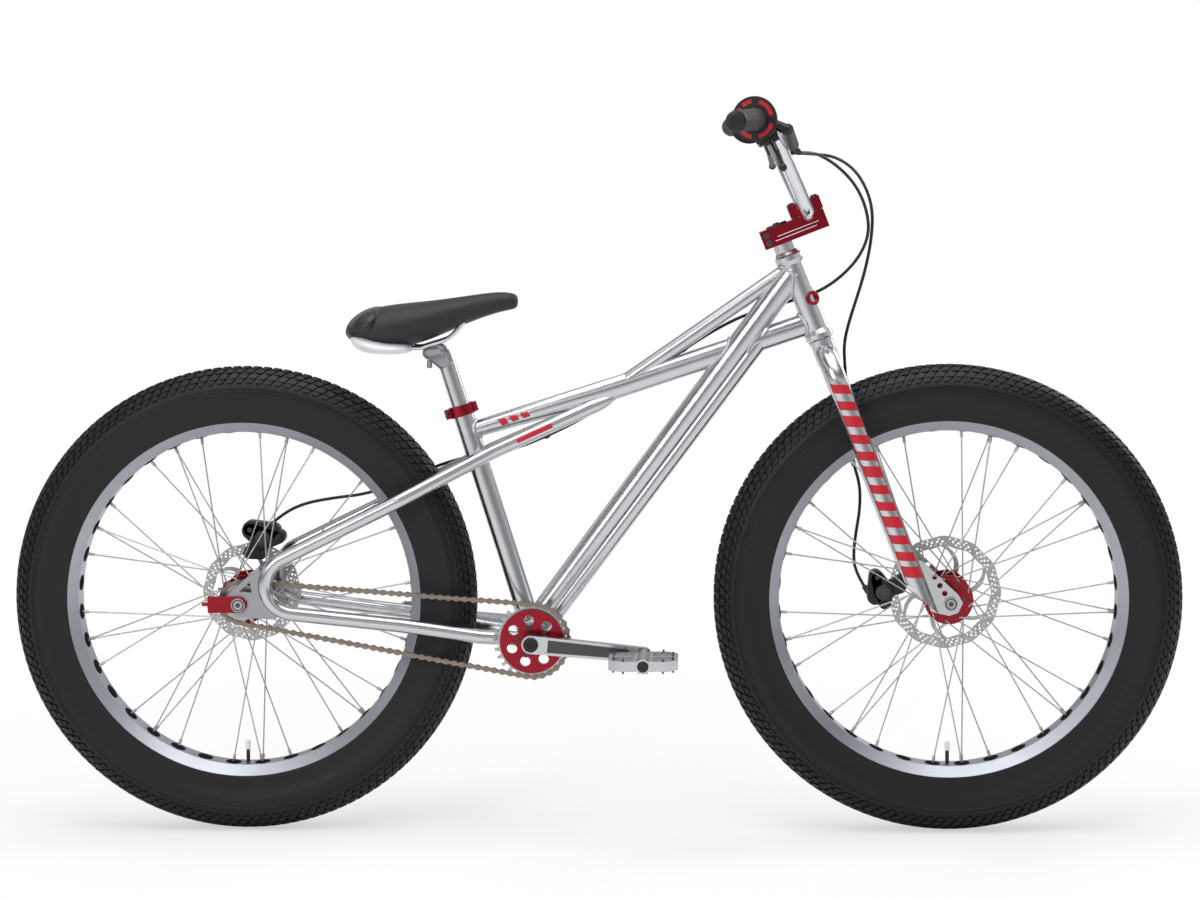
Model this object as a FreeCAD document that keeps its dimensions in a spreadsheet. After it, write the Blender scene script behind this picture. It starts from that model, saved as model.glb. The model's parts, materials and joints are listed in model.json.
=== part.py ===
import FreeCAD, Part
import math
import os
import Sketcher
from FreeCAD import Vector

# Fat-tyred cruiser BMX bike, built as separate pieces in one frame.
# +X is forward, +Y is the rider's left, +Z is up.  The origin is on the ground,
# midway between the two axles, in the bike's plane of symmetry.

SIZES = {
    # wheels
    "wheelbase": 1097.0,
    "tyre_radius": 364.0,
    "tyre_section": 43.5,
    "tyre_wall": 3.0,
    "bead_width": 4.5,
    "bead_overlap": 3.0,
    "tyre_height": 77.0,
    "rim_flange_height": 7.5,
    "rim_depth": 25.0,
    "rim_half_width": 32.5,
    "rim_wall": 2.5,
    "rim_slope": 12.5,
    "spoke_radius": 1.1,
    "nipple_radius": 2.3,
    "nipple_length": 12.0,
    "spokes_per_flange": 18,
    "hub_flange_radius": 38.0,
    "hub_flange_thickness": 4.0,
    "spoke_circle_radius": 32.0,
    "hub_barrel_radius": 18.0,
    "hub_end_radius": 13.0,
    "hub_end_gap": 1.5,
    "axle_radius": 8.0,
    "axle_bolt_radius": 5.0,
    "axle_head_radius": 10.5,
    "axle_head_thickness": 5.0,
    "running_clearance": 0.05,
    "front_hub_width": 135.0,
    "rear_hub_width": 150.0,
    "front_flange_offset": 33.0,
    "rear_flange_offset": 35.0,
    "front_rotor_offset": 52.0,
    "rear_rotor_offset": 59.5,
    "front_rotor_radius": 89.0,
    "rear_rotor_radius": 78.5,
    "rotor_band": 16.0,
    "rotor_thickness": 1.8,
    "rotor_seat_radius": 23.0,
    "rotor_pilot_radius": 17.5,
    "rotor_arm_width": 9.0,
    "rotor_arms": 6,
    # frame
    "crank_ahead_of_tyre": 88.3,
    "crank_height": 304.0,
    "seat_tube_lean": 17.4,
    "seat_tube_length": 379.0,
    "seat_tube_radius": 15.9,
    "seat_post_radius": 13.6,
    "head_angle": 69.0,
    "head_tube_length": 136.0,
    "head_tube_radius": 18.0,
    "head_end_radius": 21.75,
    "head_end_length": 14.0,
    "head_tube_wall": 2.5,
    "tube_wall": 1.8,
    "top_tube_radius": 11.6,
    "top_tube_below_head": 17.4,
    "mid_tube_radius": 13.0,
    "mid_tube_head_height": 17.5,
    "mid_tube_seat_height": 12.5,
    "strut_above_foot": 26.0,
    "down_tube_head_height": 20.0,
    "down_tube_shell_height": 16.7,
    "down_tube_behind_shell": 15.3,
    "down_tube_head_width": 19.0,
    "down_tube_shell_width": 21.0,
    "down_tube_below_head": 26.0,
    "lower_tube_radius": 12.8,
    "lower_tube_show": 15.0,
    "shell_radius": 23.0,
    "shell_wall": 2.4,
    "shell_width": 100.0,
    "stay_radius": 11.2,
    "dropout_thickness": 6.0,
    "collar_height": 17.0,
    "collar_wall": 4.0,
    "tensioner_length": 60.0,
    "tensioner_height": 25.0,
    "tensioner_thickness": 5.0,
    # fork and headset, measured from the foot of the head tube
    "fork_length": 449.2,
    "fork_offset": 38.5,
    "fork_leg_radius": 15.9,
    "fork_leg_wall": 2.0,
    "fork_leg_spread": 75.0,
    "fork_leg_bend": 48.0,
    "fork_crown_drop": 26.0,
    "fork_leg_tail": 6.0,
    "steerer_radius": 14.3,
    "steerer_wall": 2.4,
    "fork_dropout_thickness": 6.0,
    "headset_cup_height": 5.0,
    "headset_gap": 0.4,
    "spacer_stack": 18.6,
    # stem and handlebar
    "stem_length": 105.0,
    "stem_height": 28.5,
    "stem_half_width": 27.0,
    "stem_behind_steerer": 29.0,
    "stem_reach": 51.2,
    "stem_cap_height": 20.5,
    "stem_cap_length": 52.0,
    "stem_cap_gap": 1.6,
    "stem_slot": 2.4,
    "bolt_radius": 3.0,
    "bolt_head_radius": 5.0,
    "bolt_head_height": 5.0,
    "bar_radius": 11.1,
    "bar_wall": 1.8,
    "bar_flat": 52.0,
    "bar_rise": 160.4,
    "bar_bend_width": 175.0,
    "bar_half_width": 381.0,
    "bar_sweep": 56.2,
    "bar_upsweep": 9.9,
    "bar_lean_back": 7.9,
    "bar_low_bend": 42.0,
    "bar_high_bend": 62.0,
    "crossbar_radius": 8.0,
    "crossbar_above_clamp": 92.0,
    "grip_radius": 16.0,
    "grip_length": 125.0,
    "grip_flange_radius": 33.5,
    "grip_flange_thickness": 5.0,
    # cranks, chain and pedals
    "crank_length": 175.0,
    "crank_drop": 5.5,
    "crank_root_radius": 14.0,
    "crank_tip_radius": 11.5,
    "crank_thickness": 16.0,
    "crank_inner_face": 82.0,
    "crank_recess": 2.0,
    "spindle_radius": 9.5,
    "bearing_width": 9.0,
    "chain_line": 57.0,
    "chain_pitch": 12.7,
    "ring_teeth": 28,
    "cog_teeth": 16,
    "tooth_thickness": 2.8,
    "tooth_height": 2.6,
    "roller_radius": 3.9,
    "roller_clearance": 0.35,
    "chain_pin_radius": 1.8,
    "chain_plate_height": 4.3,
    "chain_inner_half": 1.9,
    "chain_outer_half": 4.4,
    "guard_radius": 49.5,
    "guard_thickness": 3.0,
    "guard_holes": 7,
    "guard_hole_radius": 8.0,
    "guard_hole_circle": 33.0,
    "pedal_length": 105.0,
    "pedal_width": 96.0,
    "pedal_thickness": 15.0,
    "pedal_gap": 3.0,
    "pedal_axle_radius": 5.0,
    "pedal_barrel_radius": 11.5,
    "pedal_thread_radius": 7.1,
    # seat
    "post_above_collar": 70.0,
    "post_insertion": 120.0,
    "post_fit": 0.05,
    "post_wall": 2.4,
    "saddle_half_width": 74.0,
    "saddle_rail_radius": 3.5,
    "saddle_rail_spread": 22.0,
    "clamp_head_length": 42.0,
    "clamp_head_height": 26.0,
    "clamp_head_half_width": 17.0,
    # brakes
    "hose_radius": 2.5,
    "caliper_thickness": 30.0,
    "caliper_slot": 5.0,
    "caliper_depth": 28.0,
    "caliper_length": 56.0,
    "gland_radius": 4.5,
    "gland_length": 26.0,
    "front_caliper_angle": 163.5,
    "rear_caliper_angle": 85.6,
    "lever_before_grip": 30.0,
    "lever_clamp_radius": 15.5,
    "lever_clamp_width": 16.0,
    "reservoir_radius": 9.5,
    "reservoir_length": 52.0,
    "lever_pivot_drop": 34.0,
    "lever_eye_radius": 7.5,
    "lever_eye_half": 5.0,
    "lever_pin_radius": 2.5,
    "lever_radius": 4.4,
    "lever_tip_radius": 6.0,
    "lever_length": 88.0,
    "lever_hang": 51.5,
}

doc = FreeCAD.newDocument("cruiser_bmx")
sheet = doc.addObject("Spreadsheet::Sheet", "Sizes")
for row, (alias, amount) in enumerate(SIZES.items(), start=1):
    sheet.set("A%d" % row, alias)
    sheet.set("B%d" % row, str(amount))
    sheet.setAlias("B%d" % row, alias)
doc.recompute()


class Size(float):
    """A number that remembers the sheet expression it comes from."""

    def __new__(cls, number, text):
        self = float.__new__(cls, number)
        self.text = text
        return self

    def __add__(self, other):
        return Size(float(self) + float(other), "(%s + %s)" % (self.text, wording(other)))

    def __radd__(self, other):
        return Size(float(other) + float(self), "(%s + %s)" % (wording(other), self.text))

    def __sub__(self, other):
        return Size(float(self) - float(other), "(%s - %s)" % (self.text, wording(other)))

    def __rsub__(self, other):
        return Size(float(other) - float(self), "(%s - %s)" % (wording(other), self.text))

    def __mul__(self, other):
        return Size(float(self) * float(other), "(%s * %s)" % (self.text, wording(other)))

    def __rmul__(self, other):
        return Size(float(other) * float(self), "(%s * %s)" % (wording(other), self.text))

    def __truediv__(self, other):
        return Size(float(self) / float(other), "(%s / %s)" % (self.text, wording(other)))

    def __neg__(self):
        return Size(-float(self), "(-%s)" % self.text)


def wording(number):
    """The text of a size in a sheet expression."""
    return number.text if isinstance(number, Size) else repr(float(number))


def sine(angle):
    return Size(math.sin(math.radians(angle)), "sin(%s)" % wording(angle))


def cosine(angle):
    return Size(math.cos(math.radians(angle)), "cos(%s)" % wording(angle))


class Sheet:
    """Reads the driving sizes by name, such as S.wheelbase."""

    def __getattr__(self, alias):
        return Size(sheet.get(alias), "Sizes.%s" % alias)


S = Sheet()
PIECES = []


# ---------------------------------------------------------------- building tools

def bind(thing, path, amount):
    """Give a property a plain number, and the expression behind it if it has one."""
    if isinstance(amount, Size):
        thing.setExpression(path, amount.text)
    elif "." not in path and "[" not in path:
        setattr(thing, path, amount)
    else:
        thing.setExpression(path, repr(float(amount)))


def place(thing, spot=(0, 0, 0), turn=None, axis=(0, 1, 0)):
    """Put a thing at a spot, turned by an angle about an axis."""
    if turn is not None:
        thing.Placement.Rotation = FreeCAD.Rotation(Vector(*axis), 30)
        bind(thing, "Placement.Rotation.Angle", turn)
    for letter, amount in zip("xyz", spot):
        if isinstance(amount, Size) or amount:
            bind(thing, "Placement.Base." + letter, amount)
    return thing


def piece(thing, label):
    """Keep a thing as one of the bike's sub-parts."""
    thing.Label = label
    PIECES.append(thing)
    return thing


AXIS_TURNS = {"x": ((0, 1, 0), 90), "y": ((1, 0, 0), -90), "z": ((0, 0, 1), 0)}


def rod(name, radius, start, length, axis="y"):
    """A solid cylinder that starts at a point and runs along an axis."""
    thing = doc.addObject("Part::Cylinder", name)
    bind(thing, "Radius", radius)
    bind(thing, "Height", length)
    about, angle = AXIS_TURNS[axis]
    thing.Placement.Rotation = FreeCAD.Rotation(Vector(*about), angle)
    return place(thing, start)


def block(name, corner, lengths):
    """A box given by its lowest corner and its three lengths."""
    thing = doc.addObject("Part::Box", name)
    for side, amount in zip(("Length", "Width", "Height"), lengths):
        bind(thing, side, amount)
    return place(thing, corner)


def cut(name, base, *tools):
    """The base with each tool taken away."""
    for count, tool in enumerate(tools):
        result = doc.addObject("Part::Cut", "%s_%d" % (name, count))
        result.Base = base
        result.Tool = tool
        base = result
    return base


def fuse(name, *things):
    result = doc.addObject("Part::MultiFuse", name)
    result.Shapes = list(things)
    return result


def feature(name, shape):
    thing = doc.addObject("Part::Feature", name)
    thing.Shape = shape
    return thing


def new_sketch(body, name, role, lift=0):
    """A sketch on one of a body's own origin planes, lifted off it along its normal."""
    sketch = body.newObject("Sketcher::SketchObject", name)
    plane = [item for item in body.Origin.OriginFeatures if item.Role == role][0]
    sketch.AttachmentSupport = [(plane, "")]
    sketch.MapMode = "FlatFace"
    if isinstance(lift, Size):
        bind(sketch, "AttachmentOffset.Base.z", lift)
    return sketch


def pin_point(sketch, geometry, point, across, up):
    """Fix a point of the sketch at a distance from its origin."""
    for kind, amount in (("DistanceX", across), ("DistanceY", up)):
        rule = sketch.addConstraint(
            Sketcher.Constraint(kind, -1, 1, geometry, point, float(amount)))
        if isinstance(amount, Size):
            sketch.setExpression("Constraints[%d]" % rule, amount.text)


def draw_corners(sketch, corners):
    """A closed outline of straight lines through bound corners."""
    first = sketch.GeometryCount
    count = len(corners)
    for number, (across, up) in enumerate(corners):
        following = corners[(number + 1) % count]
        sketch.addGeometry(Part.LineSegment(Vector(across, up, 0), Vector(*following, 0)), False)
    for number in range(count):
        after = first + (number + 1) % count
        sketch.addConstraint(Sketcher.Constraint("Coincident", first + number, 2, after, 1))
    for number, (across, up) in enumerate(corners):
        pin_point(sketch, first + number, 1, across, up)


def draw_circle(sketch, across, up, radius):
    ring = Part.Circle(Vector(across, up, 0), Vector(0, 0, 1), float(radius))
    number = sketch.addGeometry(ring, False)
    pin_point(sketch, number, 3, across, up)
    rule = sketch.addConstraint(Sketcher.Constraint("Radius", number, float(radius)))
    if isinstance(radius, Size):
        sketch.setExpression("Constraints[%d]" % rule, radius.text)


def turned(name, corners, about="y"):
    """A body of revolution.  Each corner is (distance from the axis, place along it)."""
    body = doc.addObject("PartDesign::Body", name)
    role = "XY_Plane" if about == "y" else "XZ_Plane"
    sketch = new_sketch(body, name + "_profile", role)
    draw_corners(sketch, corners)
    spin = body.newObject("PartDesign::Revolution", name + "_turning")
    spin.Profile = sketch
    spin.ReferenceAxis = (sketch, ["V_Axis"])
    spin.Angle = 360
    return body


def plate(name, thickness, corners=(), circles=(), role="XZ_Plane"):
    """A flat body, half its thickness on each side of its plane."""
    body = doc.addObject("PartDesign::Body", name)
    sketch = new_sketch(body, name + "_outline", role)
    if corners:
        draw_corners(sketch, corners)
    for across, up, radius in circles:
        draw_circle(sketch, across, up, radius)
    slab = body.newObject("PartDesign::Pad", name + "_slab")
    slab.Profile = sketch
    slab.SideType = "Symmetric"
    bind(slab, "Length", thickness)
    return body


def drill(body, name, circles=(), corners=(), role="XZ_Plane", depth=None):
    """Cut holes of a plate right through, and give back the pocket."""
    sketch = new_sketch(body, name + "_outline", role)
    if corners:
        draw_corners(sketch, corners)
    for across, up, radius in circles:
        draw_circle(sketch, across, up, radius)
    hole = body.newObject("PartDesign::Pocket", name)
    hole.Profile = sketch
    hole.SideType = "Symmetric"
    bind(hole, "Length", depth)
    return hole


def ring_pattern(body, hole, count):
    """Repeat a pocket around the body's Y axis."""
    pattern = body.newObject("PartDesign::PolarPattern", hole.Name + "_ring")
    pattern.Originals = [hole]
    axis = [item for item in body.Origin.OriginFeatures if item.Role == "Y_Axis"][0]
    pattern.Axis = (axis, [""])
    pattern.Angle = 360
    bind(pattern, "Occurrences", count)
    body.Tip = pattern
    return pattern


def rounded_path(points, radii):
    """Straight runs joined by tangent arcs, as one wire.  Gives the wire and its radii."""
    spots = [Vector(*point) for point in points]
    edges = []
    start = spots[0]
    for before, corner, after, radius in zip(spots, spots[1:], spots[2:], radii):
        inward = (before - corner).normalize()
        onward = (after - corner).normalize()
        turn = math.pi - inward.getAngle(onward)
        reach = radius * math.tan(turn / 2)
        entry = corner + inward * reach
        leave = corner + onward * reach
        middle = (inward + onward).normalize()
        centre = corner + middle * (radius / math.cos(turn / 2))
        edges.append(Part.LineSegment(start, entry).toShape())
        edges.append(Part.Arc(entry, centre - middle * radius, leave).toShape())
        start = leave
    edges.append(Part.LineSegment(start, spots[-1]).toShape())
    return Part.Wire(edges)


def cord_radii(points):
    """The largest arc that the two runs at each corner of a cord allow."""
    spots = [Vector(*point) for point in points]
    radii = []
    for before, corner, after in zip(spots, spots[1:], spots[2:]):
        turn = math.pi - (before - corner).getAngle(after - corner)
        shorter = min((before - corner).Length, (after - corner).Length)
        radii.append(0.45 * shorter / math.tan(turn / 2))
    return radii


def sweep_round(path, radius):
    """A round bar along a wire."""
    start = path.OrderedVertexes[0].Point
    heading = path.OrderedEdges[0].tangentAt(path.OrderedEdges[0].FirstParameter)
    if (path.OrderedEdges[0].valueAt(path.OrderedEdges[0].FirstParameter) - start).Length > 0.01:
        heading = path.OrderedEdges[0].tangentAt(path.OrderedEdges[0].LastParameter) * -1
    section = Part.Wire(Part.makeCircle(float(radius), start, heading))
    return path.makePipeShell([section], True, True)


def oval_wire(centre, heading, half_up, half_side):
    """An ellipse across a heading in the XZ plane, half_side wide along Y."""
    upward = Vector(-heading.z, 0, heading.x)
    if half_up >= half_side:
        long_half, short_half, long_way = half_up, half_side, upward
    else:
        long_half, short_half, long_way = half_side, half_up, Vector(0, 1, 0)
    oval = Part.Ellipse(Vector(0, 0, 0), float(long_half), float(short_half)).toShape()
    side_way = heading.cross(long_way)
    turn = FreeCAD.Rotation(long_way, side_way, heading, "XYZ")
    oval.Placement = FreeCAD.Placement(centre, turn)
    return Part.Wire(oval)


def oval_bar(start, finish, first_halves, last_halves):
    """A straight bar of oval section that can taper."""
    heading = (finish - start).normalize()
    first = oval_wire(start, heading, *first_halves)
    last = oval_wire(finish, heading, *last_halves)
    return Part.makeLoft([first, last], True, True)


def oval_bend(start, bend, finish, first_halves, last_halves):
    """Two oval bars that meet at a bend with one shared section."""
    before = (bend - start).normalize()
    after = (finish - bend).normalize()
    first = oval_wire(start, before, *first_halves)
    shared = oval_wire(bend, (before + after).normalize(), *last_halves)
    last = oval_wire(finish, after, *last_halves)
    near = Part.makeLoft([first, shared], True, True)
    return near.fuse(Part.makeLoft([shared, last], True, True)).removeSplitter()


def round_bar(start, finish, radius):
    return Part.makeCylinder(float(radius), (finish - start).Length, start, finish - start)


# ---------------------------------------------------------------- driving places

LEAN = 90 - S.head_angle
REAR_AXLE = (-S.wheelbase / 2, 0, S.tyre_radius)
FRONT_AXLE = (S.wheelbase / 2, 0, S.tyre_radius)
RIM_EDGE = S.tyre_radius - S.tyre_height
BEAD_SEAT = RIM_EDGE - S.rim_flange_height
RIM_FLOOR = RIM_EDGE - S.rim_depth
CRANK = (S.tyre_radius + S.crank_ahead_of_tyre - S.wheelbase / 2, 0, S.crank_height)
HEAD_FOOT = (
    S.wheelbase / 2 - S.fork_length * cosine(S.head_angle) - S.fork_offset * sine(S.head_angle),
    0,
    S.tyre_radius + S.fork_length * sine(S.head_angle) - S.fork_offset * cosine(S.head_angle),
)
STEERING = FreeCAD.Placement(Vector(*HEAD_FOOT), FreeCAD.Rotation(Vector(0, 1, 0), -float(LEAN)))


def steered(thing):
    """Stand a piece that is modelled about the steering axis in the bike."""
    return place(thing, HEAD_FOOT, -LEAN)


def steered_shape(shape):
    moved = shape.copy()
    moved.Placement = STEERING.multiply(moved.Placement)
    return moved


def on_head(height):
    """A point of the steering axis, by its height above the foot of the head tube."""
    return STEERING.multVec(Vector(0, 0, float(height)))


def on_seat(height):
    """A point of the seat tube's axis, by its distance from the crank axle."""
    lean = math.radians(S.seat_tube_lean)
    return Vector(*CRANK) + Vector(-math.sin(lean), 0, math.cos(lean)) * float(height)


# ---------------------------------------------------------------- wheels

def build_tyre(end, axle):
    ring_radius = S.tyre_radius - S.tyre_section
    outside = doc.addObject("Part::Torus", end + "_tyre_outside")
    bind(outside, "Radius1", ring_radius)
    bind(outside, "Radius2", S.tyre_section)
    inside = doc.addObject("Part::Torus", end + "_tyre_inside")
    bind(inside, "Radius1", ring_radius)
    bind(inside, "Radius2", S.tyre_section - S.tyre_wall)
    for ring in (outside, inside):
        ring.Placement.Rotation = FreeCAD.Rotation(Vector(1, 0, 0), 90)
    mouth = rod(end + "_tyre_mouth", RIM_EDGE, (0, -S.tyre_section, 0), S.tyre_section * 2)
    carcass = cut(end + "_carcass", outside, inside, mouth)
    reach = S.rim_half_width - S.rim_wall
    bead = rod(end + "_bead", RIM_EDGE + S.bead_overlap, (0, -reach, 0), reach * 2)
    seat = rod(end + "_bead_seat", BEAD_SEAT, (0, -reach, 0), reach * 2)
    gap = reach - S.bead_width
    well = rod(end + "_bead_well", S.tyre_radius - S.tyre_section, (0, -gap, 0), gap * 2)
    beads = cut(end + "_beads", bead, seat, well)
    tyre = fuse(end + "_tyre_whole", carcass, beads)
    return piece(place(tyre, axle), end + "_tyre")


def build_rim(end, axle):
    outer = S.rim_half_width
    inner = S.rim_half_width - S.rim_wall
    well = S.rim_half_width - S.rim_slope
    half = [
        (RIM_EDGE, outer),
        (BEAD_SEAT - S.rim_wall, outer),
        (RIM_FLOOR, well),
    ]
    inside = [
        (RIM_FLOOR + S.rim_wall, well - S.rim_wall),
        (BEAD_SEAT, inner - S.bead_width * 1.5),
        (BEAD_SEAT, inner),
        (RIM_EDGE, inner),
    ]
    mirrored = [(across, -up) for across, up in reversed(half)]
    mirrored_inside = [(across, -up) for across, up in reversed(inside)]
    rim = turned(end + "_rim_body", half + mirrored + mirrored_inside + inside)
    return piece(place(rim, axle), end + "_rim")


def build_hub(end, axle, width, flange, rotor):
    """Hub shell with two spoke flanges and a seat for the brake disc."""
    bore = S.axle_radius + S.running_clearance
    tip = width / 2 - S.hub_end_gap
    rotor_face = rotor - S.rotor_thickness / 2
    rotor_top = rotor + S.rotor_thickness / 2
    shoulder = S.rotor_seat_radius
    inner_flange = flange - S.hub_flange_thickness
    chamber = flange + S.hub_flange_thickness
    lining = S.hub_barrel_radius - S.rim_wall * 2
    right_end = [(bore, -tip), (S.hub_end_radius, -tip)]
    right_side = [
        (S.hub_end_radius, -(flange + S.hub_flange_thickness * 2)),
        (S.hub_barrel_radius, -flange),
        (S.hub_flange_radius, -flange),
        (S.hub_flange_radius, -inner_flange),
        (S.hub_barrel_radius, -inner_flange),
    ]
    left_side = [
        (S.hub_barrel_radius, inner_flange),
        (S.hub_flange_radius, inner_flange),
        (S.hub_flange_radius, flange),
        (shoulder, flange),
        (shoulder, rotor_face),
        (S.rotor_pilot_radius, rotor_face),
        (S.rotor_pilot_radius, rotor_top),
        (S.hub_end_radius, rotor_top),
        (S.hub_end_radius, tip),
        (bore, tip),
    ]
    hollow = [
        (bore, chamber),
        (lining, inner_flange),
        (lining, -inner_flange),
        (bore, -chamber),
    ]
    hub = turned(end + "_hub_body", right_end + right_side + left_side + hollow)
    return piece(place(hub, axle), end + "_hub")


def build_rotor(end, axle, offset, radius):
    thickness = S.rotor_thickness
    start = offset - thickness / 2
    band = cut(
        end + "_rotor_band",
        rod(end + "_rotor_disc", radius, (0, start, 0), thickness),
        rod(end + "_rotor_window", radius - S.rotor_band, (0, start, 0), thickness),
    )
    ring = rod(end + "_rotor_ring", S.rotor_seat_radius + S.rotor_thickness * 4, (0, start, 0), thickness)
    arms = []
    for number in range(int(S.rotor_arms)):
        arm = doc.addObject("Part::Box", "%s_rotor_arm_%d" % (end, number))
        bind(arm, "Length", radius - S.rotor_band / 2)
        bind(arm, "Width", thickness)
        bind(arm, "Height", S.rotor_arm_width)
        place(arm, (0, start, 0), number * 360.0 / int(S.rotor_arms))
        arms.append(arm)
    solid = fuse(end + "_rotor_solid", band, ring, *arms)
    bore = rod(end + "_rotor_bore", S.rotor_pilot_radius, (0, start, 0), thickness)
    return piece(place(cut(end + "_rotor_whole", solid, bore), axle), end + "_rotor")


def spoke_ends(flange_side, number, flange):
    """Where one spoke leaves its flange and where it meets the rim."""
    per_flange = int(S.spokes_per_flange)
    spacing = 360.0 / per_flange
    crossing = 3 * spacing
    leading = 1 if number % 2 else -1
    hub_angle = math.radians(number * spacing + (spacing / 2 if flange_side > 0 else 0))
    rim_angle = hub_angle + math.radians(leading * (crossing - spacing / 4))
    outward = S.spoke_radius if number % 2 else -S.hub_flange_thickness - S.spoke_radius
    hub_y = flange_side * float(flange + outward)
    rim_y = flange_side * 4.0
    near = Vector(math.cos(hub_angle), 0, math.sin(hub_angle)) * float(S.spoke_circle_radius)
    far = Vector(math.cos(rim_angle), 0, math.sin(rim_angle)) * float(RIM_FLOOR)
    return near + Vector(0, hub_y, 0), far + Vector(0, rim_y, 0)


def build_spokes(end, axle, flange, hub, rim):
    solids = []
    for flange_side in (-1, 1):
        for number in range(int(S.spokes_per_flange)):
            near, far = spoke_ends(flange_side, number, flange)
            heading = (far - near).normalize()
            wire = round_bar(near, far + heading * 2, S.spoke_radius)
            foot = far - heading * float(S.nipple_length)
            nipple = round_bar(foot, far + heading * 2, S.nipple_radius)
            spoke = wire.fuse(nipple).removeSplitter()
            spoke.translate(Vector(*axle))
            solids.append(spoke.cut([rim.Shape, hub.Shape]).Solids[0])
    return piece(feature(end + "_spoke_set", Part.makeCompound(solids)), end + "_spokes")


def build_axle(end, axle, width, plates):
    """A stepped axle: its shoulders bear on the dropouts and flanged heads hold it."""
    inner = width / 2
    outer = inner + plates
    head = outer + S.axle_head_thickness
    corners = [
        (0, -head), (S.axle_head_radius, -head), (S.axle_head_radius, -outer),
        (S.axle_bolt_radius, -outer), (S.axle_bolt_radius, -inner), (S.axle_radius, -inner),
        (S.axle_radius, inner), (S.axle_bolt_radius, inner), (S.axle_bolt_radius, outer),
        (S.axle_head_radius, outer), (S.axle_head_radius, head), (0, head),
    ]
    return piece(place(turned(end + "_axle_body", corners), axle), end + "_axle")


def build_wheel(end, axle, width, flange, rotor, rotor_radius):
    build_tyre(end, axle)
    rim = build_rim(end, axle)
    hub = build_hub(end, axle, width, flange, rotor)
    doc.recompute()
    build_spokes(end, axle, flange, hub, rim)
    build_rotor(end, axle, rotor, rotor_radius)


# ---------------------------------------------------------------- frame

def build_head_tube():
    """A tube with flared ends, bored for the bearing cups."""
    top = S.head_tube_length
    flare = S.head_end_length
    inner = S.head_tube_radius - S.head_tube_wall
    cup = S.head_end_radius - S.head_tube_wall
    seat = S.headset_cup_height
    corners = [
        (cup, 0), (S.head_end_radius, 0), (S.head_end_radius, flare / 2),
        (S.head_tube_radius, flare), (S.head_tube_radius, top - flare),
        (S.head_end_radius, top - flare / 2), (S.head_end_radius, top), (cup, top),
        (cup, top - seat), (inner, top - seat), (inner, seat), (cup, seat),
    ]
    return piece(steered(turned("head_tube_body", corners, "z")), "head_tube")


def head_solid():
    """The head tube filled in, for coping the tubes that meet it."""
    top = float(S.head_tube_length)
    wide = float(S.head_end_radius)
    narrow = float(S.head_tube_radius)
    half_flare = float(S.head_end_length) / 2
    shapes = []
    for foot, way in ((0, 1), (top, -1)):
        up = Vector(0, 0, way)
        foot = Vector(0, 0, foot)
        shapes.append(Part.makeCylinder(wide, half_flare, foot, up))
        shapes.append(Part.makeCone(wide, narrow, half_flare, foot + up * half_flare, up))
    return steered_shape(Part.makeCylinder(narrow, top).fuse(shapes))


def build_main_tubes():
    head = head_solid()
    shell = Part.makeCylinder(
        float(S.shell_radius), float(S.shell_width),
        Vector(*CRANK) - Vector(0, S.shell_width / 2, 0), Vector(0, 1, 0))
    seat_foot = on_seat(0)
    seat_top = on_seat(S.seat_tube_length)
    seat_fill = round_bar(seat_foot, seat_top, S.seat_tube_radius)

    high = on_head(S.head_tube_length - S.down_tube_below_head)
    low = Vector(*CRANK) - Vector(S.down_tube_behind_shell, 0, 0)
    head_halves = (S.down_tube_head_height, S.down_tube_head_width)
    foot_halves = (S.down_tube_shell_height, S.down_tube_shell_width)
    down_fill = oval_bar(high, low, head_halves, foot_halves)
    wall = S.tube_wall
    down_bore = oval_bar(
        high, low,
        tuple(half - wall for half in head_halves), tuple(half - wall for half in foot_halves))
    along = (low - high).normalize()
    below = Vector(along.z, 0, -along.x)
    if below.z > 0:
        below = below * -1
    drop = S.lower_tube_show - S.lower_tube_radius
    second_high = high + along * 96 + below * float(S.down_tube_head_height + drop)
    second_low = low + below * float(S.down_tube_shell_height + drop)
    second_fill = round_bar(second_high, second_low, S.lower_tube_radius)
    return head, shell, seat_fill, down_fill, down_bore, second_fill


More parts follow.
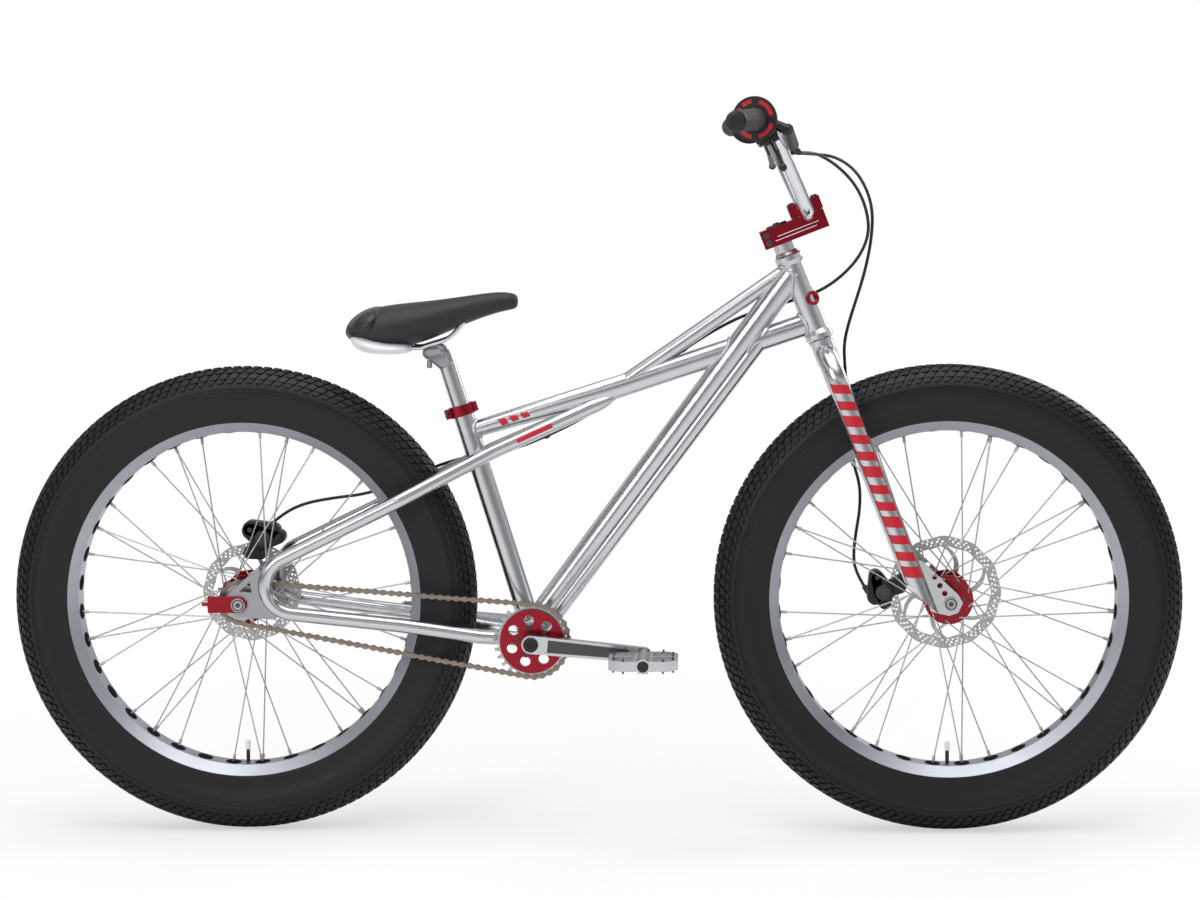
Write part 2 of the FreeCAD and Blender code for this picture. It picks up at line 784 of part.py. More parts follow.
def build_frame():
    head, shell, seat_fill, down_fill, down_bore, second_fill = build_main_tubes()
    wall = S.tube_wall

    # The middle tube leaves the seat tube, passes under the top tube and runs on to the head.
    mid_start = on_seat(S.seat_tube_length - 43)
    mid_bend = Vector(*CRANK) + Vector(133.1, 0, 389)
    mid_end = on_head(S.strut_above_foot)
    seat_halves = (S.mid_tube_seat_height, S.mid_tube_radius)
    head_halves = (S.mid_tube_head_height, S.mid_tube_radius)
    mid_fill = oval_bend(mid_start, mid_bend, mid_end, seat_halves, head_halves)
    mid_bore = oval_bend(
        mid_start, mid_bend, mid_end,
        tuple(half - wall for half in seat_halves), tuple(half - wall for half in head_halves))

    top_start = on_head(S.head_tube_length - S.top_tube_below_head)
    top_end = mid_bend + Vector(-8, 0, -5)
    top_fill = round_bar(top_start, top_end, S.top_tube_radius)
    top_bore = round_bar(top_start, top_end, S.top_tube_radius - wall)

    top = top_fill.cut([top_bore, head, mid_fill, down_fill])
    piece(feature("top_tube_shape", largest(top)), "top_tube")
    mid = mid_fill.cut([mid_bore, head, seat_fill])
    piece(feature("mid_tube_shape", largest(mid)), "mid_tube")
    down = down_fill.fuse(second_fill).cut([down_bore, head, shell, mid_fill, seat_fill])
    piece(feature("down_tube_shape", largest(down)), "down_tube")

    seat_bore = round_bar(on_seat(0), on_seat(S.seat_tube_length + 1), S.seat_post_radius + S.post_fit)
    seat = seat_fill.cut([seat_bore, shell])
    piece(feature("seat_tube_shape", largest(seat)), "seat_tube")

    inner = S.shell_radius - S.shell_wall
    half = S.shell_width / 2
    corners = [(inner, -half), (S.shell_radius, -half), (S.shell_radius, half), (inner, half)]
    piece(place(turned("shell_body", corners), CRANK), "bottom_bracket_shell")

    build_stays(mid_fill, down_fill.fuse(second_fill), seat_fill, shell)


def largest(shape):
    """The main solid of a cut shape, without the loose slivers."""
    return max(shape.Solids, key=lambda solid: solid.Volume)


def stay_points(side):
    """The loop stay's corners: down from the middle tube, round behind, back to the shell."""
    rear = Vector(*REAR_AXLE)
    crank = Vector(*CRANK)
    return [
        crank + Vector(94, side * 8, 359),
        crank + Vector(-65, side * 30, 289),
        rear + Vector(250.2, side * 70, 159.5),
        rear + Vector(-70.5, side * 91.5, 3.2),
        rear + Vector(249.4, side * 70, -34),
        crank + Vector(-81, side * 49, 5),
        crank + Vector(-8, side * 32, -2),
    ]


def build_stays(mid_fill, down_fill, seat_fill, shell):
    """One bent tube on each side, with its end plate and chain tensioner."""
    for side, name in ((1, "left"), (-1, "right")):
        path = rounded_path(stay_points(side), (90, 90, 44.6, 90, 60))
        tube = sweep_round(path, S.stay_radius)
        bore = sweep_round(path, S.stay_radius - S.tube_wall)
        half_space = Part.makeBox(2000, 400, 1200, Vector(-1000, 0 if side < 0 else -400, 0))
        shape = tube.cut([bore, mid_fill, down_fill, seat_fill, shell, half_space])
        piece(feature(name + "_stay_shape", largest(shape)), name + "_stay")
        build_dropout(name, side, tube)
        build_tensioner(name, side)


def build_dropout(name, side, tube):
    """A plate with an axle slot that opens to the rear, welded inside the stay's loop."""
    half_slot = S.axle_bolt_radius + S.running_clearance
    corners = [
        (31, 58), (-22.5, 10), (-23, half_slot), (13, half_slot), (13, -half_slot),
        (-19, -half_slot), (-4.5, -19), (58, -24), (47, 0), (42, 26),
    ]
    body = plate(name + "_dropout_body", S.dropout_thickness, corners)
    drill(body, name + "_dropout_window", corners=[(18, 36), (1, 20), (20, 18)],
          depth=S.dropout_thickness)
    middle = side * (S.rear_hub_width / 2 + S.dropout_thickness / 2)
    place(body, (REAR_AXLE[0], middle, REAR_AXLE[2]))
    doc.recompute()
    shape = body.Shape.cut(tube)
    piece(feature(name + "_dropout_shape", largest(shape)), name + "_dropout")


def build_tensioner(name, side):
    """A block outside the dropout that the axle passes through, with its pulling screw."""
    back = -S.tensioner_length + S.tensioner_height / 2
    face = S.rear_hub_width / 2 + S.dropout_thickness
    start = face if side > 0 else -(face + S.tensioner_thickness)
    low = -S.tensioner_height / 2
    bar = block(name + "_tensioner_bar", (back, start, low),
                (S.tensioner_length - S.tensioner_height / 2, S.tensioner_thickness, S.tensioner_height))
    nose = rod(name + "_tensioner_nose", S.tensioner_height / 2, (0, start, 0), S.tensioner_thickness)
    hole = rod(name + "_tensioner_hole", S.axle_bolt_radius, (0, start, 0), S.tensioner_thickness)
    lip_start = S.rear_hub_width / 2 if side > 0 else -(S.rear_hub_width / 2 + S.dropout_thickness)
    lip = block(name + "_tensioner_lip", (back, lip_start, low),
                (S.tensioner_thickness * 2, S.dropout_thickness, S.tensioner_height))
    screw = rod(name + "_tensioner_screw", S.bolt_radius,
                (back - S.tensioner_thickness * 2, side * (S.rear_hub_width / 2 + S.dropout_thickness / 2), 0),
                S.tensioner_thickness * 3, "x")
    whole = cut(name + "_tensioner_whole", fuse(name + "_tensioner_solid", bar, nose, lip, screw), hole)
    piece(place(whole, (REAR_AXLE[0], 0, REAR_AXLE[2])), name + "_tensioner")


def build_seat_collar():
    """The clamp band at the top of the seat tube, with its two bolts."""
    outer = S.seat_tube_radius + S.collar_wall
    height = S.collar_height
    low = S.seat_tube_length - height
    band = rod("collar_band", outer, (0, 0, low), height, "z")
    tabs = block("collar_tabs", (-outer - 7, -5, low + 1), (outer * 2 + 12, 10, height - 2))
    bore = rod("collar_bore", S.seat_tube_radius, (0, 0, low), height, "z")
    whole = cut("collar_whole", fuse("collar_solid", band, tabs), bore)
    piece(place(whole, CRANK, -S.seat_tube_lean), "seat_collar")


def build_crank_bearings():
    inner = S.spindle_radius + S.running_clearance
    outer = S.shell_radius - S.shell_wall
    rings = []
    for side, name in ((-1, "right"), (1, "left")):
        near = side * (S.shell_width / 2 - S.bearing_width)
        far = side * S.shell_width / 2
        corners = [(inner, near), (outer, near), (outer, far), (inner, far)]
        rings.append(turned(name + "_crank_bearing", corners))
    group = doc.addObject("Part::Compound", "crank_bearing_pair")
    group.Links = rings
    piece(place(group, CRANK), "bottom_bracket_bearings")


def build_headset():
    """Two cups in the head tube that the steerer turns in."""
    inner = S.steerer_radius + S.running_clearance
    outer = S.head_end_radius - S.head_tube_wall
    rim = S.head_end_radius
    seat = S.headset_cup_height
    top = S.head_tube_length
    lip = seat / 2
    upper = [(inner, top - seat), (outer, top - seat), (outer, top), (rim, top),
             (rim - lip, top + lip), (inner, top + lip)]
    lower = [(inner, seat), (outer, seat), (outer, 0), (rim, 0), (rim - lip, -lip), (inner, -lip)]
    rings = [turned("upper_cup", upper, "z"), turned("lower_cup", lower, "z")]
    group = doc.addObject("Part::Compound", "headset_cup_pair")
    group.Links = rings
    piece(steered(group), "headset_cups")


# ---------------------------------------------------------------- fork, stem and bar

def build_fork():
    low = -(S.headset_cup_height / 2 + S.headset_gap)
    top = S.head_tube_length + S.headset_cup_height / 2 + S.headset_gap + S.spacer_stack + S.stem_height - 3
    base = -S.fork_crown_drop - S.fork_leg_radius
    inner = S.steerer_radius - S.steerer_wall
    race = S.head_end_radius - 2
    wide = S.fork_leg_radius + 2
    corners = [
        (inner, base), (wide, base), (wide, low - 4), (race, low - 4), (race, low),
        (S.steerer_radius, low), (S.steerer_radius, top), (inner, top),
    ]
    piece(steered(turned("steerer_body", corners, "z")), "steerer_tube")
    hub_fill = Part.makeCylinder(float(wide), float(low - base), Vector(0, 0, float(base)))
    axle_spot = Vector(float(S.fork_offset), 0, -float(S.fork_length))
    tip = -float(S.fork_length) - float(S.fork_leg_tail)
    scoop = [(-20, tip + 72), (17, tip - 4), (17, tip - 20), (-20, tip - 20)]
    for side, name in ((1, "left"), (-1, "right")):
        spread = side * float(S.fork_leg_spread)
        crown = -float(S.fork_crown_drop)
        points = [(0, spread, tip), (0, spread, crown), (0, 0, crown)]
        path = rounded_path(points, (float(S.fork_leg_bend),))
        solid = sweep_round(path, S.fork_leg_radius)
        bore_points = [(0, spread, tip + 82), (0, spread, crown), (0, 0, crown)]
        bore_path = rounded_path(bore_points, (float(S.fork_leg_bend),))
        bore = sweep_round(bore_path, S.fork_leg_radius - S.fork_leg_wall)
        scoop_points = [Vector(across, -150, up) for across, up in scoop]
        scoop_face = Part.Face(Part.makePolygon(scoop_points + scoop_points[:1]))
        leg = solid.cut([bore, hub_fill, scoop_face.extrude(Vector(0, 300, 0))])
        inner_face = side * float(S.front_hub_width) / 2
        thick = float(S.fork_dropout_thickness)
        outline = [(6, -362), (21, -372), (54, -440), (56, -455), (44, -466), (30, -466), (6, -450)]
        corner_points = [Vector(across, inner_face, up) for across, up in outline]
        web = Part.Face(Part.makePolygon(corner_points + corner_points[:1]))
        web = web.extrude(Vector(0, side * thick, 0))
        slot = Part.makeCylinder(
            float(S.axle_bolt_radius), thick * 3, axle_spot + Vector(0, inner_face - side * thick, 0),
            Vector(0, side, 0))
        holes = [
            Part.makeCylinder(4.2, thick * 3, Vector(across, inner_face - side * thick, up), Vector(0, side, 0))
            for across, up in ((30, -402), (32.8, -417), (35.4, -431))
        ]
        whole = largest(leg).fuse(web.cut(bore)).cut([slot] + holes)
        shape = steered_shape(largest(whole.removeSplitter()))
        piece(feature(name + "_fork_shape", shape), name + "_fork_leg")


def stem_foot():
    """Height of the stem's underside above the foot of the head tube."""
    return S.head_tube_length + S.headset_cup_height / 2 + S.headset_gap + S.spacer_stack


def build_stem():
    foot = stem_foot()
    low_ring = S.head_tube_length + S.headset_cup_height / 2 + S.headset_gap
    wide = S.head_end_radius - 2
    corners = [(S.steerer_radius, low_ring), (wide, low_ring), (wide - 3, low_ring + 5),
               (wide - 3, foot), (S.steerer_radius, foot)]
    piece(steered(turned("spacer_body", corners, "z")), "headset_spacers")

    half = S.stem_half_width
    back = -S.stem_behind_steerer
    solid = block("stem_solid", (back, -half, foot), (S.stem_length, half * 2, S.stem_height))
    bore = rod("stem_bore", S.steerer_radius, (0, 0, foot), S.stem_height, "z")
    bar_height = foot + S.stem_height + S.stem_cap_gap / 2
    cradle = rod("stem_cradle", S.bar_radius, (S.stem_reach, -half, bar_height), half * 2)
    slot = block("stem_rear_slot", (back, -S.stem_slot / 2, foot),
                 (S.stem_behind_steerer, S.stem_slot, S.stem_height))
    holes = []
    pinch = []
    for number in range(2):
        level = foot + S.stem_height * (0.28 + 0.44 * number)
        spot = (-S.steerer_radius - S.bolt_head_radius - 1.5, -half, level)
        holes.append(rod("stem_pinch_hole_%d" % number, S.bolt_radius, spot, half * 2))
        shank = rod("stem_pinch_shank_%d" % number, S.bolt_radius, spot, half * 2)
        head = rod("stem_pinch_head_%d" % number, S.bolt_head_radius,
                   (spot[0], -half - S.bolt_head_height / 2, level), S.bolt_head_height / 2)
        pinch += [fuse("stem_pinch_bolt_%d" % number, shank, head)]
    cap_low = foot + S.stem_height + S.stem_cap_gap
    cap_back = S.stem_reach - S.stem_cap_length / 2
    cap_solid = block("cap_solid", (cap_back, -half, cap_low),
                      (S.stem_cap_length, half * 2, S.stem_cap_height))
    cap_cradle = rod("cap_cradle", S.bar_radius, (S.stem_reach, -half, bar_height), half * 2)
    cap_holes = []
    cap_bolts = []
    depth = S.stem_height * 0.6
    for along in (-1, 1):
        for across in (-1, 1):
            tag = "%d_%d" % (along + 1, across + 1)
            spot = (S.stem_reach + along * (S.stem_cap_length / 2 - 7), across * (half - 9), cap_low - depth)
            length = depth + S.stem_cap_height
            cap_holes.append(rod("cap_hole_" + tag, S.bolt_radius, spot, length, "z"))
            shank = rod("cap_shank_" + tag, S.bolt_radius, spot, length, "z")
            top = (spot[0], spot[1], cap_low + S.stem_cap_height)
            head = rod("cap_head_" + tag, S.bolt_head_radius, top, S.bolt_head_height / 2, "z")
            cap_bolts.append(fuse("cap_bolt_" + tag, shank, head))
    body = cut("stem_whole", solid, bore, cradle, slot, *holes, *cap_holes)
    piece(steered(body), "stem_body")
    piece(steered(cut("cap_whole", cap_solid, cap_cradle, *cap_holes)), "stem_cap")
    top_cap = rod("steerer_cap", S.steerer_radius + 2.5, (0, 0, foot + S.stem_height), 3, "z")
    top_bolt = rod("steerer_bolt", S.bolt_head_radius, (0, 0, foot + S.stem_height + 3), 2, "z")
    group = doc.addObject("Part::Compound", "stem_bolt_set")
    group.Links = pinch + cap_bolts + [fuse("steerer_cap_whole", top_cap, top_bolt)]
    piece(steered(group), "stem_bolts")


def bar_points():
    """The handlebar's corners from the right end to the left one, about the steering axis."""
    height = float(stem_foot() + S.stem_height + S.stem_cap_gap / 2)
    reach = float(S.stem_reach)
    top = height + float(S.bar_rise)
    tip = reach - float(S.bar_sweep)
    half = [
        (tip, float(S.bar_half_width), top + float(S.bar_upsweep)),
        (reach - float(S.bar_lean_back), float(S.bar_bend_width), top),
        (reach, float(S.bar_flat), height),
    ]
    return [(across, -side, up) for across, side, up in half] + half[::-1]


def build_handlebar():
    points = bar_points()
    radii = (S.bar_high_bend, S.bar_low_bend, S.bar_low_bend, S.bar_high_bend)
    path = rounded_path(points, [float(radius) for radius in radii])
    solid = sweep_round(path, S.bar_radius)
    bore = sweep_round(path, S.bar_radius - S.bar_wall)
    share = float(S.crossbar_above_clamp / S.bar_rise)
    foot = Vector(*points[3])
    shoulder = Vector(*points[4])
    left_end = foot + (shoulder - foot) * share
    right_end = Vector(left_end.x, -left_end.y, left_end.z)
    brace = round_bar(right_end, left_end, S.crossbar_radius).cut([solid])
    bar = solid.cut(bore).fuse(largest(brace)).removeSplitter()
    piece(feature("handlebar_shape", steered_shape(largest(bar))), "handlebar")


def bar_frame(side, from_middle):
    """A point on the straight end of the bar and its outward direction."""
    points = bar_points()
    shoulder = Vector(*points[4])
    tip = Vector(*points[5])
    shoulder.y *= side
    tip.y *= side
    heading = (tip - shoulder).normalize()
    return shoulder + heading * ((float(from_middle) - abs(shoulder.y)) / abs(heading.y)), heading


def build_grips():
    for side, name in ((1, "left"), (-1, "right")):
        tip, heading = bar_frame(side, S.bar_half_width)
        root = tip - heading * float(S.grip_length)
        sleeve = round_bar(root, tip + heading * 4, S.grip_radius)
        flange = round_bar(root, root + heading * float(S.grip_flange_thickness), S.grip_flange_radius)
        bore = round_bar(root - heading, tip, S.bar_radius)
        grip = sleeve.fuse(flange).cut(bore).removeSplitter()
        piece(feature(name + "_grip_shape", steered_shape(largest(grip))), name + "_grip")


def lever_frame(side):
    """The lever's clamp centre and its three directions: along the bar, hanging and forward."""
    from_middle = S.bar_half_width - S.grip_length - S.lever_before_grip
    centre, heading = bar_frame(side, from_middle)
    hang = Vector(0.14, 0, -0.99)
    hang = (hang - heading * hang.dot(heading)).normalize()
    forward = heading.cross(hang)
    if forward.x < 0:
        forward = forward * -1
    return centre, heading, hang, forward


def hose_port(side):
    """The tip of the boot where a hose leaves its master cylinder, about the steering axis."""
    centre, heading, hang, forward = lever_frame(side)
    return centre - heading * (float(S.reservoir_length) + 12) + Vector(23, 0, -66)


def hose_start(side):
    """The first corner of the hose on that side, about the steering axis."""
    if side > 0:
        return Vector(*FRONT_HOSE[0])
    return STEERING.inverse().multVec(near_head(REAR_HOSE_LOOP[0]))


def build_brake_levers():
    for side, name in ((1, "left"), (-1, "right")):
        centre, heading, hang, forward = lever_frame(side)
        half = heading * (float(S.lever_clamp_width) / 2)
        ring = round_bar(centre - half, centre + half, S.lever_clamp_radius)
        bore_radius = S.bar_radius + S.running_clearance
        bore = round_bar(centre - heading * 20, centre + heading * 20, bore_radius)
        tank_outer = centre + heading * 6 + Vector(32.4, 0, -30)
        tank_inner = centre - heading * float(S.reservoir_length) + Vector(20, 0, -52)
        tank = round_bar(tank_inner, tank_outer, S.reservoir_radius)
        neck = round_bar(centre + Vector(8, 0, -8), centre + Vector(32, 0, -31), 8)
        port = hose_port(side)
        boot = round_bar(tank_inner, port, S.hose_radius + 2)
        outlet = round_bar(port, hose_start(side), S.hose_radius + S.running_clearance)
        knuckle = lever_pivot(side)
        pieces = [tank, neck, boot]
        eye_half = float(S.lever_eye_half)
        for way in (1, -1):
            near = knuckle + forward * (way * (eye_half + 0.5))
            far = knuckle + forward * (way * (eye_half + 6))
            pieces.append(round_bar(near, far, S.lever_eye_radius))
            middle = forward * (way * (eye_half + 4.5))
            pieces.append(round_bar(centre + middle + hang * 12, knuckle + middle, 4))
        pin = round_bar(knuckle - forward * (eye_half + 6), knuckle + forward * (eye_half + 6),
                        S.lever_pin_radius)
        body = ring.fuse(pieces + [pin]).cut([bore, outlet])
        piece(feature(name + "_master_shape", steered_shape(largest(body))), name + "_master_cylinder")
        build_lever_blade(name, knuckle, heading, hang, forward)


def lever_pivot(side):
    centre, heading, hang, forward = lever_frame(side)
    return centre + heading * 4 + hang * float(S.lever_pivot_drop)


def build_lever_blade(name, knuckle, heading, hang, forward):
    elbow = knuckle + heading * 20 + hang * 24 + forward * 3
    tip = knuckle + heading * float(S.lever_length) + hang * float(S.lever_hang) + forward * 14
    eye_half = float(S.lever_eye_half)
    eye = round_bar(knuckle - forward * eye_half, knuckle + forward * eye_half, S.lever_eye_radius)
    hole = round_bar(knuckle - forward * 20, knuckle + forward * 20,
                     S.lever_pin_radius + S.running_clearance)
    root = round_bar(knuckle, elbow, S.lever_radius)
    blade = round_bar(elbow, tip, S.lever_radius)
    ball = Part.makeSphere(float(S.lever_tip_radius), tip)
    bend = Part.makeSphere(float(S.lever_radius), elbow)
    lever = eye.fuse([root, bend, blade, ball]).cut(hole)
    piece(feature(name + "_lever_shape", steered_shape(largest(lever))), name + "_brake_lever")


# ---------------------------------------------------------------- drive

def pitch_radius(teeth):
    return S.chain_pitch / (sine(180 / teeth) * 2)


def build_sprocket(name, teeth, tooth_phase):
    """A toothed disc: a gullet for each roller, repeated round the disc."""
    pitch = pitch_radius(teeth)
    body = plate(name + "_body", S.tooth_thickness, circles=[(0, 0, pitch + S.tooth_height)])
    gullet = S.roller_radius + S.roller_clearance
    spot = (pitch * cosine(tooth_phase), pitch * sine(tooth_phase), gullet)
    hole = drill(body, name + "_gullet", circles=[spot], depth=S.tooth_thickness)
    ring_pattern(body, hole, teeth)
    return body


def build_crank_set():
    angle = S.crank_drop
    line = -S.chain_line
    ring = build_sprocket("chainring", S.ring_teeth, Size(0.0, "0"))
    web = drill(ring, "ring_web", circles=[(S.guard_hole_circle, 0, S.guard_hole_radius)],
                depth=S.tooth_thickness)
    ring_pattern(ring, web, S.guard_holes)
    drill(ring, "ring_bore", circles=[(0, 0, S.spindle_radius)], depth=S.tooth_thickness)
    piece(place(ring, (CRANK[0], line, CRANK[2]), angle), "chainring")

    guard = plate("guard_body", S.guard_thickness, circles=[(0, 0, S.guard_radius)])
    window = drill(guard, "guard_window", circles=[(S.guard_hole_circle, 0, S.guard_hole_radius)],
                   depth=S.guard_thickness)
    ring_pattern(guard, window, S.guard_holes)
    drill(guard, "guard_bore", circles=[(0, 0, S.spindle_radius)], depth=S.guard_thickness)
    guard_line = line - S.chain_outer_half - S.roller_clearance - S.guard_thickness / 2
    piece(place(guard, (CRANK[0], guard_line, CRANK[2]), angle), "chainring_guard")

    face = S.crank_inner_face
    tip = face + S.crank_thickness
    step = S.shell_width / 2 + S.headset_gap
    sleeve = S.spindle_radius + 4
    ring_back = S.chain_line - S.tooth_thickness / 2
    ring_front = S.chain_line + S.tooth_thickness / 2
    guard_back = -guard_line - S.guard_thickness / 2
    guard_front = -guard_line + S.guard_thickness / 2
    corners = [
        (0, -tip), (S.spindle_radius, -tip), (S.spindle_radius, -face), (sleeve, -face),
        (sleeve, -guard_front), (S.spindle_radius, -guard_front),
        (S.spindle_radius, -guard_back), (sleeve, -guard_back),
        (sleeve, -ring_front), (S.spindle_radius, -ring_front),
        (S.spindle_radius, -ring_back), (sleeve, -ring_back), (sleeve, -step),
        (S.spindle_radius, -step), (S.spindle_radius, step), (sleeve, step),
        (sleeve, face), (S.spindle_radius, face), (S.spindle_radius, tip), (0, tip),
    ]
    piece(place(turned("spindle_body", corners), CRANK), "crank_spindle")
    build_crank_arm("right", -1, angle)
    build_crank_arm("left", 1, angle + 180)


def build_crank_arm(name, side, angle):
    """A tapered arm with a shallow recess along its outer face."""
    root = S.crank_root_radius
    tip = S.crank_tip_radius
    long = S.crank_length
    thick = S.crank_thickness
    start = S.crank_inner_face if side > 0 else -(S.crank_inner_face + thick)
    boss = rod(name + "_arm_boss", root, (0, start, 0), thick)
    eye = rod(name + "_arm_eye", tip, (long, start, 0), thick)
    web = plate(name + "_arm_web", thick, [(0, -root), (long, -tip), (long, tip), (0, root)])
    place(web, (0, start + thick / 2, 0))
    solid = fuse(name + "_arm_solid", boss, eye, web)
    recess = plate(name + "_arm_recess", S.crank_recess * 2, [
        (root * 1.6, 4 - root), (long - tip * 2, 4 - tip), (long - tip * 2, tip - 4), (root * 1.6, root - 4)])
    place(recess, (0, start + (thick if side > 0 else 0), 0))
    bore = rod(name + "_arm_bore", S.spindle_radius, (0, start, 0), thick)
    thread = rod(name + "_arm_thread", S.pedal_thread_radius, (long, start, 0), thick)
    arm = cut(name + "_arm_whole", solid, recess, bore, thread)
    piece(place(arm, CRANK, angle), name + "_crank_arm")


def pedal_spot(side):
    """The crank arm's outer end, on the pedal's axis."""
    reach = S.crank_length * (1 if side < 0 else -1)
    return (CRANK[0] + reach * cosine(S.crank_drop), CRANK[2] - reach * sine(S.crank_drop))


def build_pedals():
    start = S.crank_inner_face
    outer = S.crank_inner_face + S.crank_thickness
    shoulder = outer + S.pedal_gap
    tip = shoulder + S.pedal_width - S.pedal_gap
    axles = []
    for side, name in ((-1, "right"), (1, "left")):
        across, up = pedal_spot(side)
        corners = [
            (0, side * start), (S.pedal_thread_radius, side * start),
            (S.pedal_thread_radius, side * outer), (S.pedal_thread_radius + 2, side * outer),
            (S.pedal_thread_radius + 2, side * (shoulder - 0.5)), (S.pedal_axle_radius, side * (shoulder - 0.5)),
            (S.pedal_axle_radius, side * tip), (0, side * tip),
        ]
        axles.append(place(turned(name + "_pedal_axle", corners), (across, 0, up)))
        build_pedal(name, side, across, up, shoulder)
    group = doc.addObject("Part::Compound", "pedal_axle_pair")
    group.Links = axles
    piece(group, "pedal_axles")


def build_pedal(name, side, across, up, shoulder):
    """A platform with four windows around a barrel that turns on the axle."""
    half_length = S.pedal_length / 2
    half_width = S.pedal_width / 2
    corner = 16
    outline = [
        (-half_length, -half_width + corner), (-half_length + corner, -half_width),
        (half_length - corner, -half_width), (half_length, -half_width + corner),
        (half_length, half_width - corner), (half_length - corner, half_width),
        (-half_length + corner, half_width), (-half_length, half_width - corner),
    ]
    slab = plate(name + "_pedal_slab", S.pedal_thickness, outline, role="XY_Plane")
    rail = 9
    barrel = S.pedal_barrel_radius
    for tag, way in (("front", 1), ("back", -1)):
        near = way * (barrel + 3)
        far = way * (half_length - rail)
        for edge, low, high in (("outer", 4, half_width - rail), ("inner", -half_width + rail, -4)):
            window = [(near, low), (far, low), (far, high), (near, high)]
            drill(slab, "%s_pedal_window_%s_%s" % (name, tag, edge), corners=window,
                  role="XY_Plane", depth=S.pedal_thickness)
    tube = rod(name + "_pedal_barrel", barrel, (0, -half_width, 0), S.pedal_width)
    bore = rod(name + "_pedal_bore", S.pedal_axle_radius + S.running_clearance,
               (0, -half_width, 0), S.pedal_width)
    whole = cut(name + "_pedal_whole", fuse(name + "_pedal_solid", slab, tube), bore)
    middle = side * (shoulder + half_width)
    piece(place(whole, (across, middle, up)), name + "_pedal")


def chain_pins():
    """The chain's pitch line and its pins, evenly spaced along it."""
    front = Vector(CRANK[0], 0, CRANK[2])
    rear = Vector(*REAR_AXLE)
    line = tangent_loop(
        front, float(pitch_radius(S.ring_teeth)), rear, float(pitch_radius(S.cog_teeth)))
    count = int(round(line.Length / float(S.chain_pitch)))
    return line.discretize(Number=count + 1)[:-1]


def build_cog():
    cog = build_sprocket("cog", S.cog_teeth, Size(0.0, "0"))
    rearmost = min(chain_pins(), key=lambda spot: spot.x) - Vector(*REAR_AXLE)
    phase = -math.degrees(math.atan2(rearmost.z, rearmost.x))
    drill(cog, "cog_bore", circles=[(0, 0, S.hub_end_radius + S.running_clearance)],
          depth=S.tooth_thickness)
    piece(place(cog, (REAR_AXLE[0], -S.chain_line, REAR_AXLE[2]), phase), "rear_cog")


def tangent_loop(front, front_radius, rear, rear_radius):
    """The outline of a belt around two circles in the XZ plane."""
    gap = front - rear
    slope = math.atan2(gap.z, gap.x)
    spread = math.acos((front_radius - rear_radius) / gap.Length)
    touches = []
    for centre, radius in ((front, front_radius), (rear, rear_radius)):
        for way in (1, -1):
            angle = slope + way * spread
            touches.append(centre + Vector(math.cos(angle), 0, math.sin(angle)) * radius)
    ahead = Vector(math.cos(slope), 0, math.sin(slope))
    front_arc = Part.Arc(touches[1], front + ahead * front_radius, touches[0])
    rear_arc = Part.Arc(touches[2], rear - ahead * rear_radius, touches[3])
    edges = [
        front_arc.toShape(), Part.LineSegment(touches[0], touches[2]).toShape(),
        rear_arc.toShape(), Part.LineSegment(touches[3], touches[1]).toShape(),
    ]
    return Part.Wire(edges)


def build_chain():
    """Two side bands joined by a pin at each link, round the chainring and the cog."""
    front = Vector(CRANK[0], 0, CRANK[2])
    rear = Vector(REAR_AXLE[0], 0, REAR_AXLE[2])
    front_radius = float(pitch_radius(S.ring_teeth))
    rear_radius = float(pitch_radius(S.cog_teeth))
    rise = float(S.chain_plate_height)
    outer = Part.Face(tangent_loop(front, front_radius + rise, rear, rear_radius + rise))
    inner = Part.Face(tangent_loop(front, front_radius - rise, rear, rear_radius - rise))
    flat = outer.cut(inner)
    line = -float(S.chain_line)
    near = float(S.chain_inner_half)
    far = float(S.chain_outer_half)
    bands = []
    for start in (line - far, line + near):
        band = flat.copy()
        band.translate(Vector(0, start, 0))
        bands.append(band.extrude(Vector(0, far - near, 0)))
    pins = [
        Part.makeCylinder(float(S.chain_pin_radius), far * 2, spot + Vector(0, line - far, 0), Vector(0, 1, 0))
        for spot in chain_pins()
    ]
    chain = bands[0].fuse([bands[1]] + pins).removeSplitter()
    piece(feature("chain_shape", largest(chain)), "chain")


# ---------------------------------------------------------------- seat

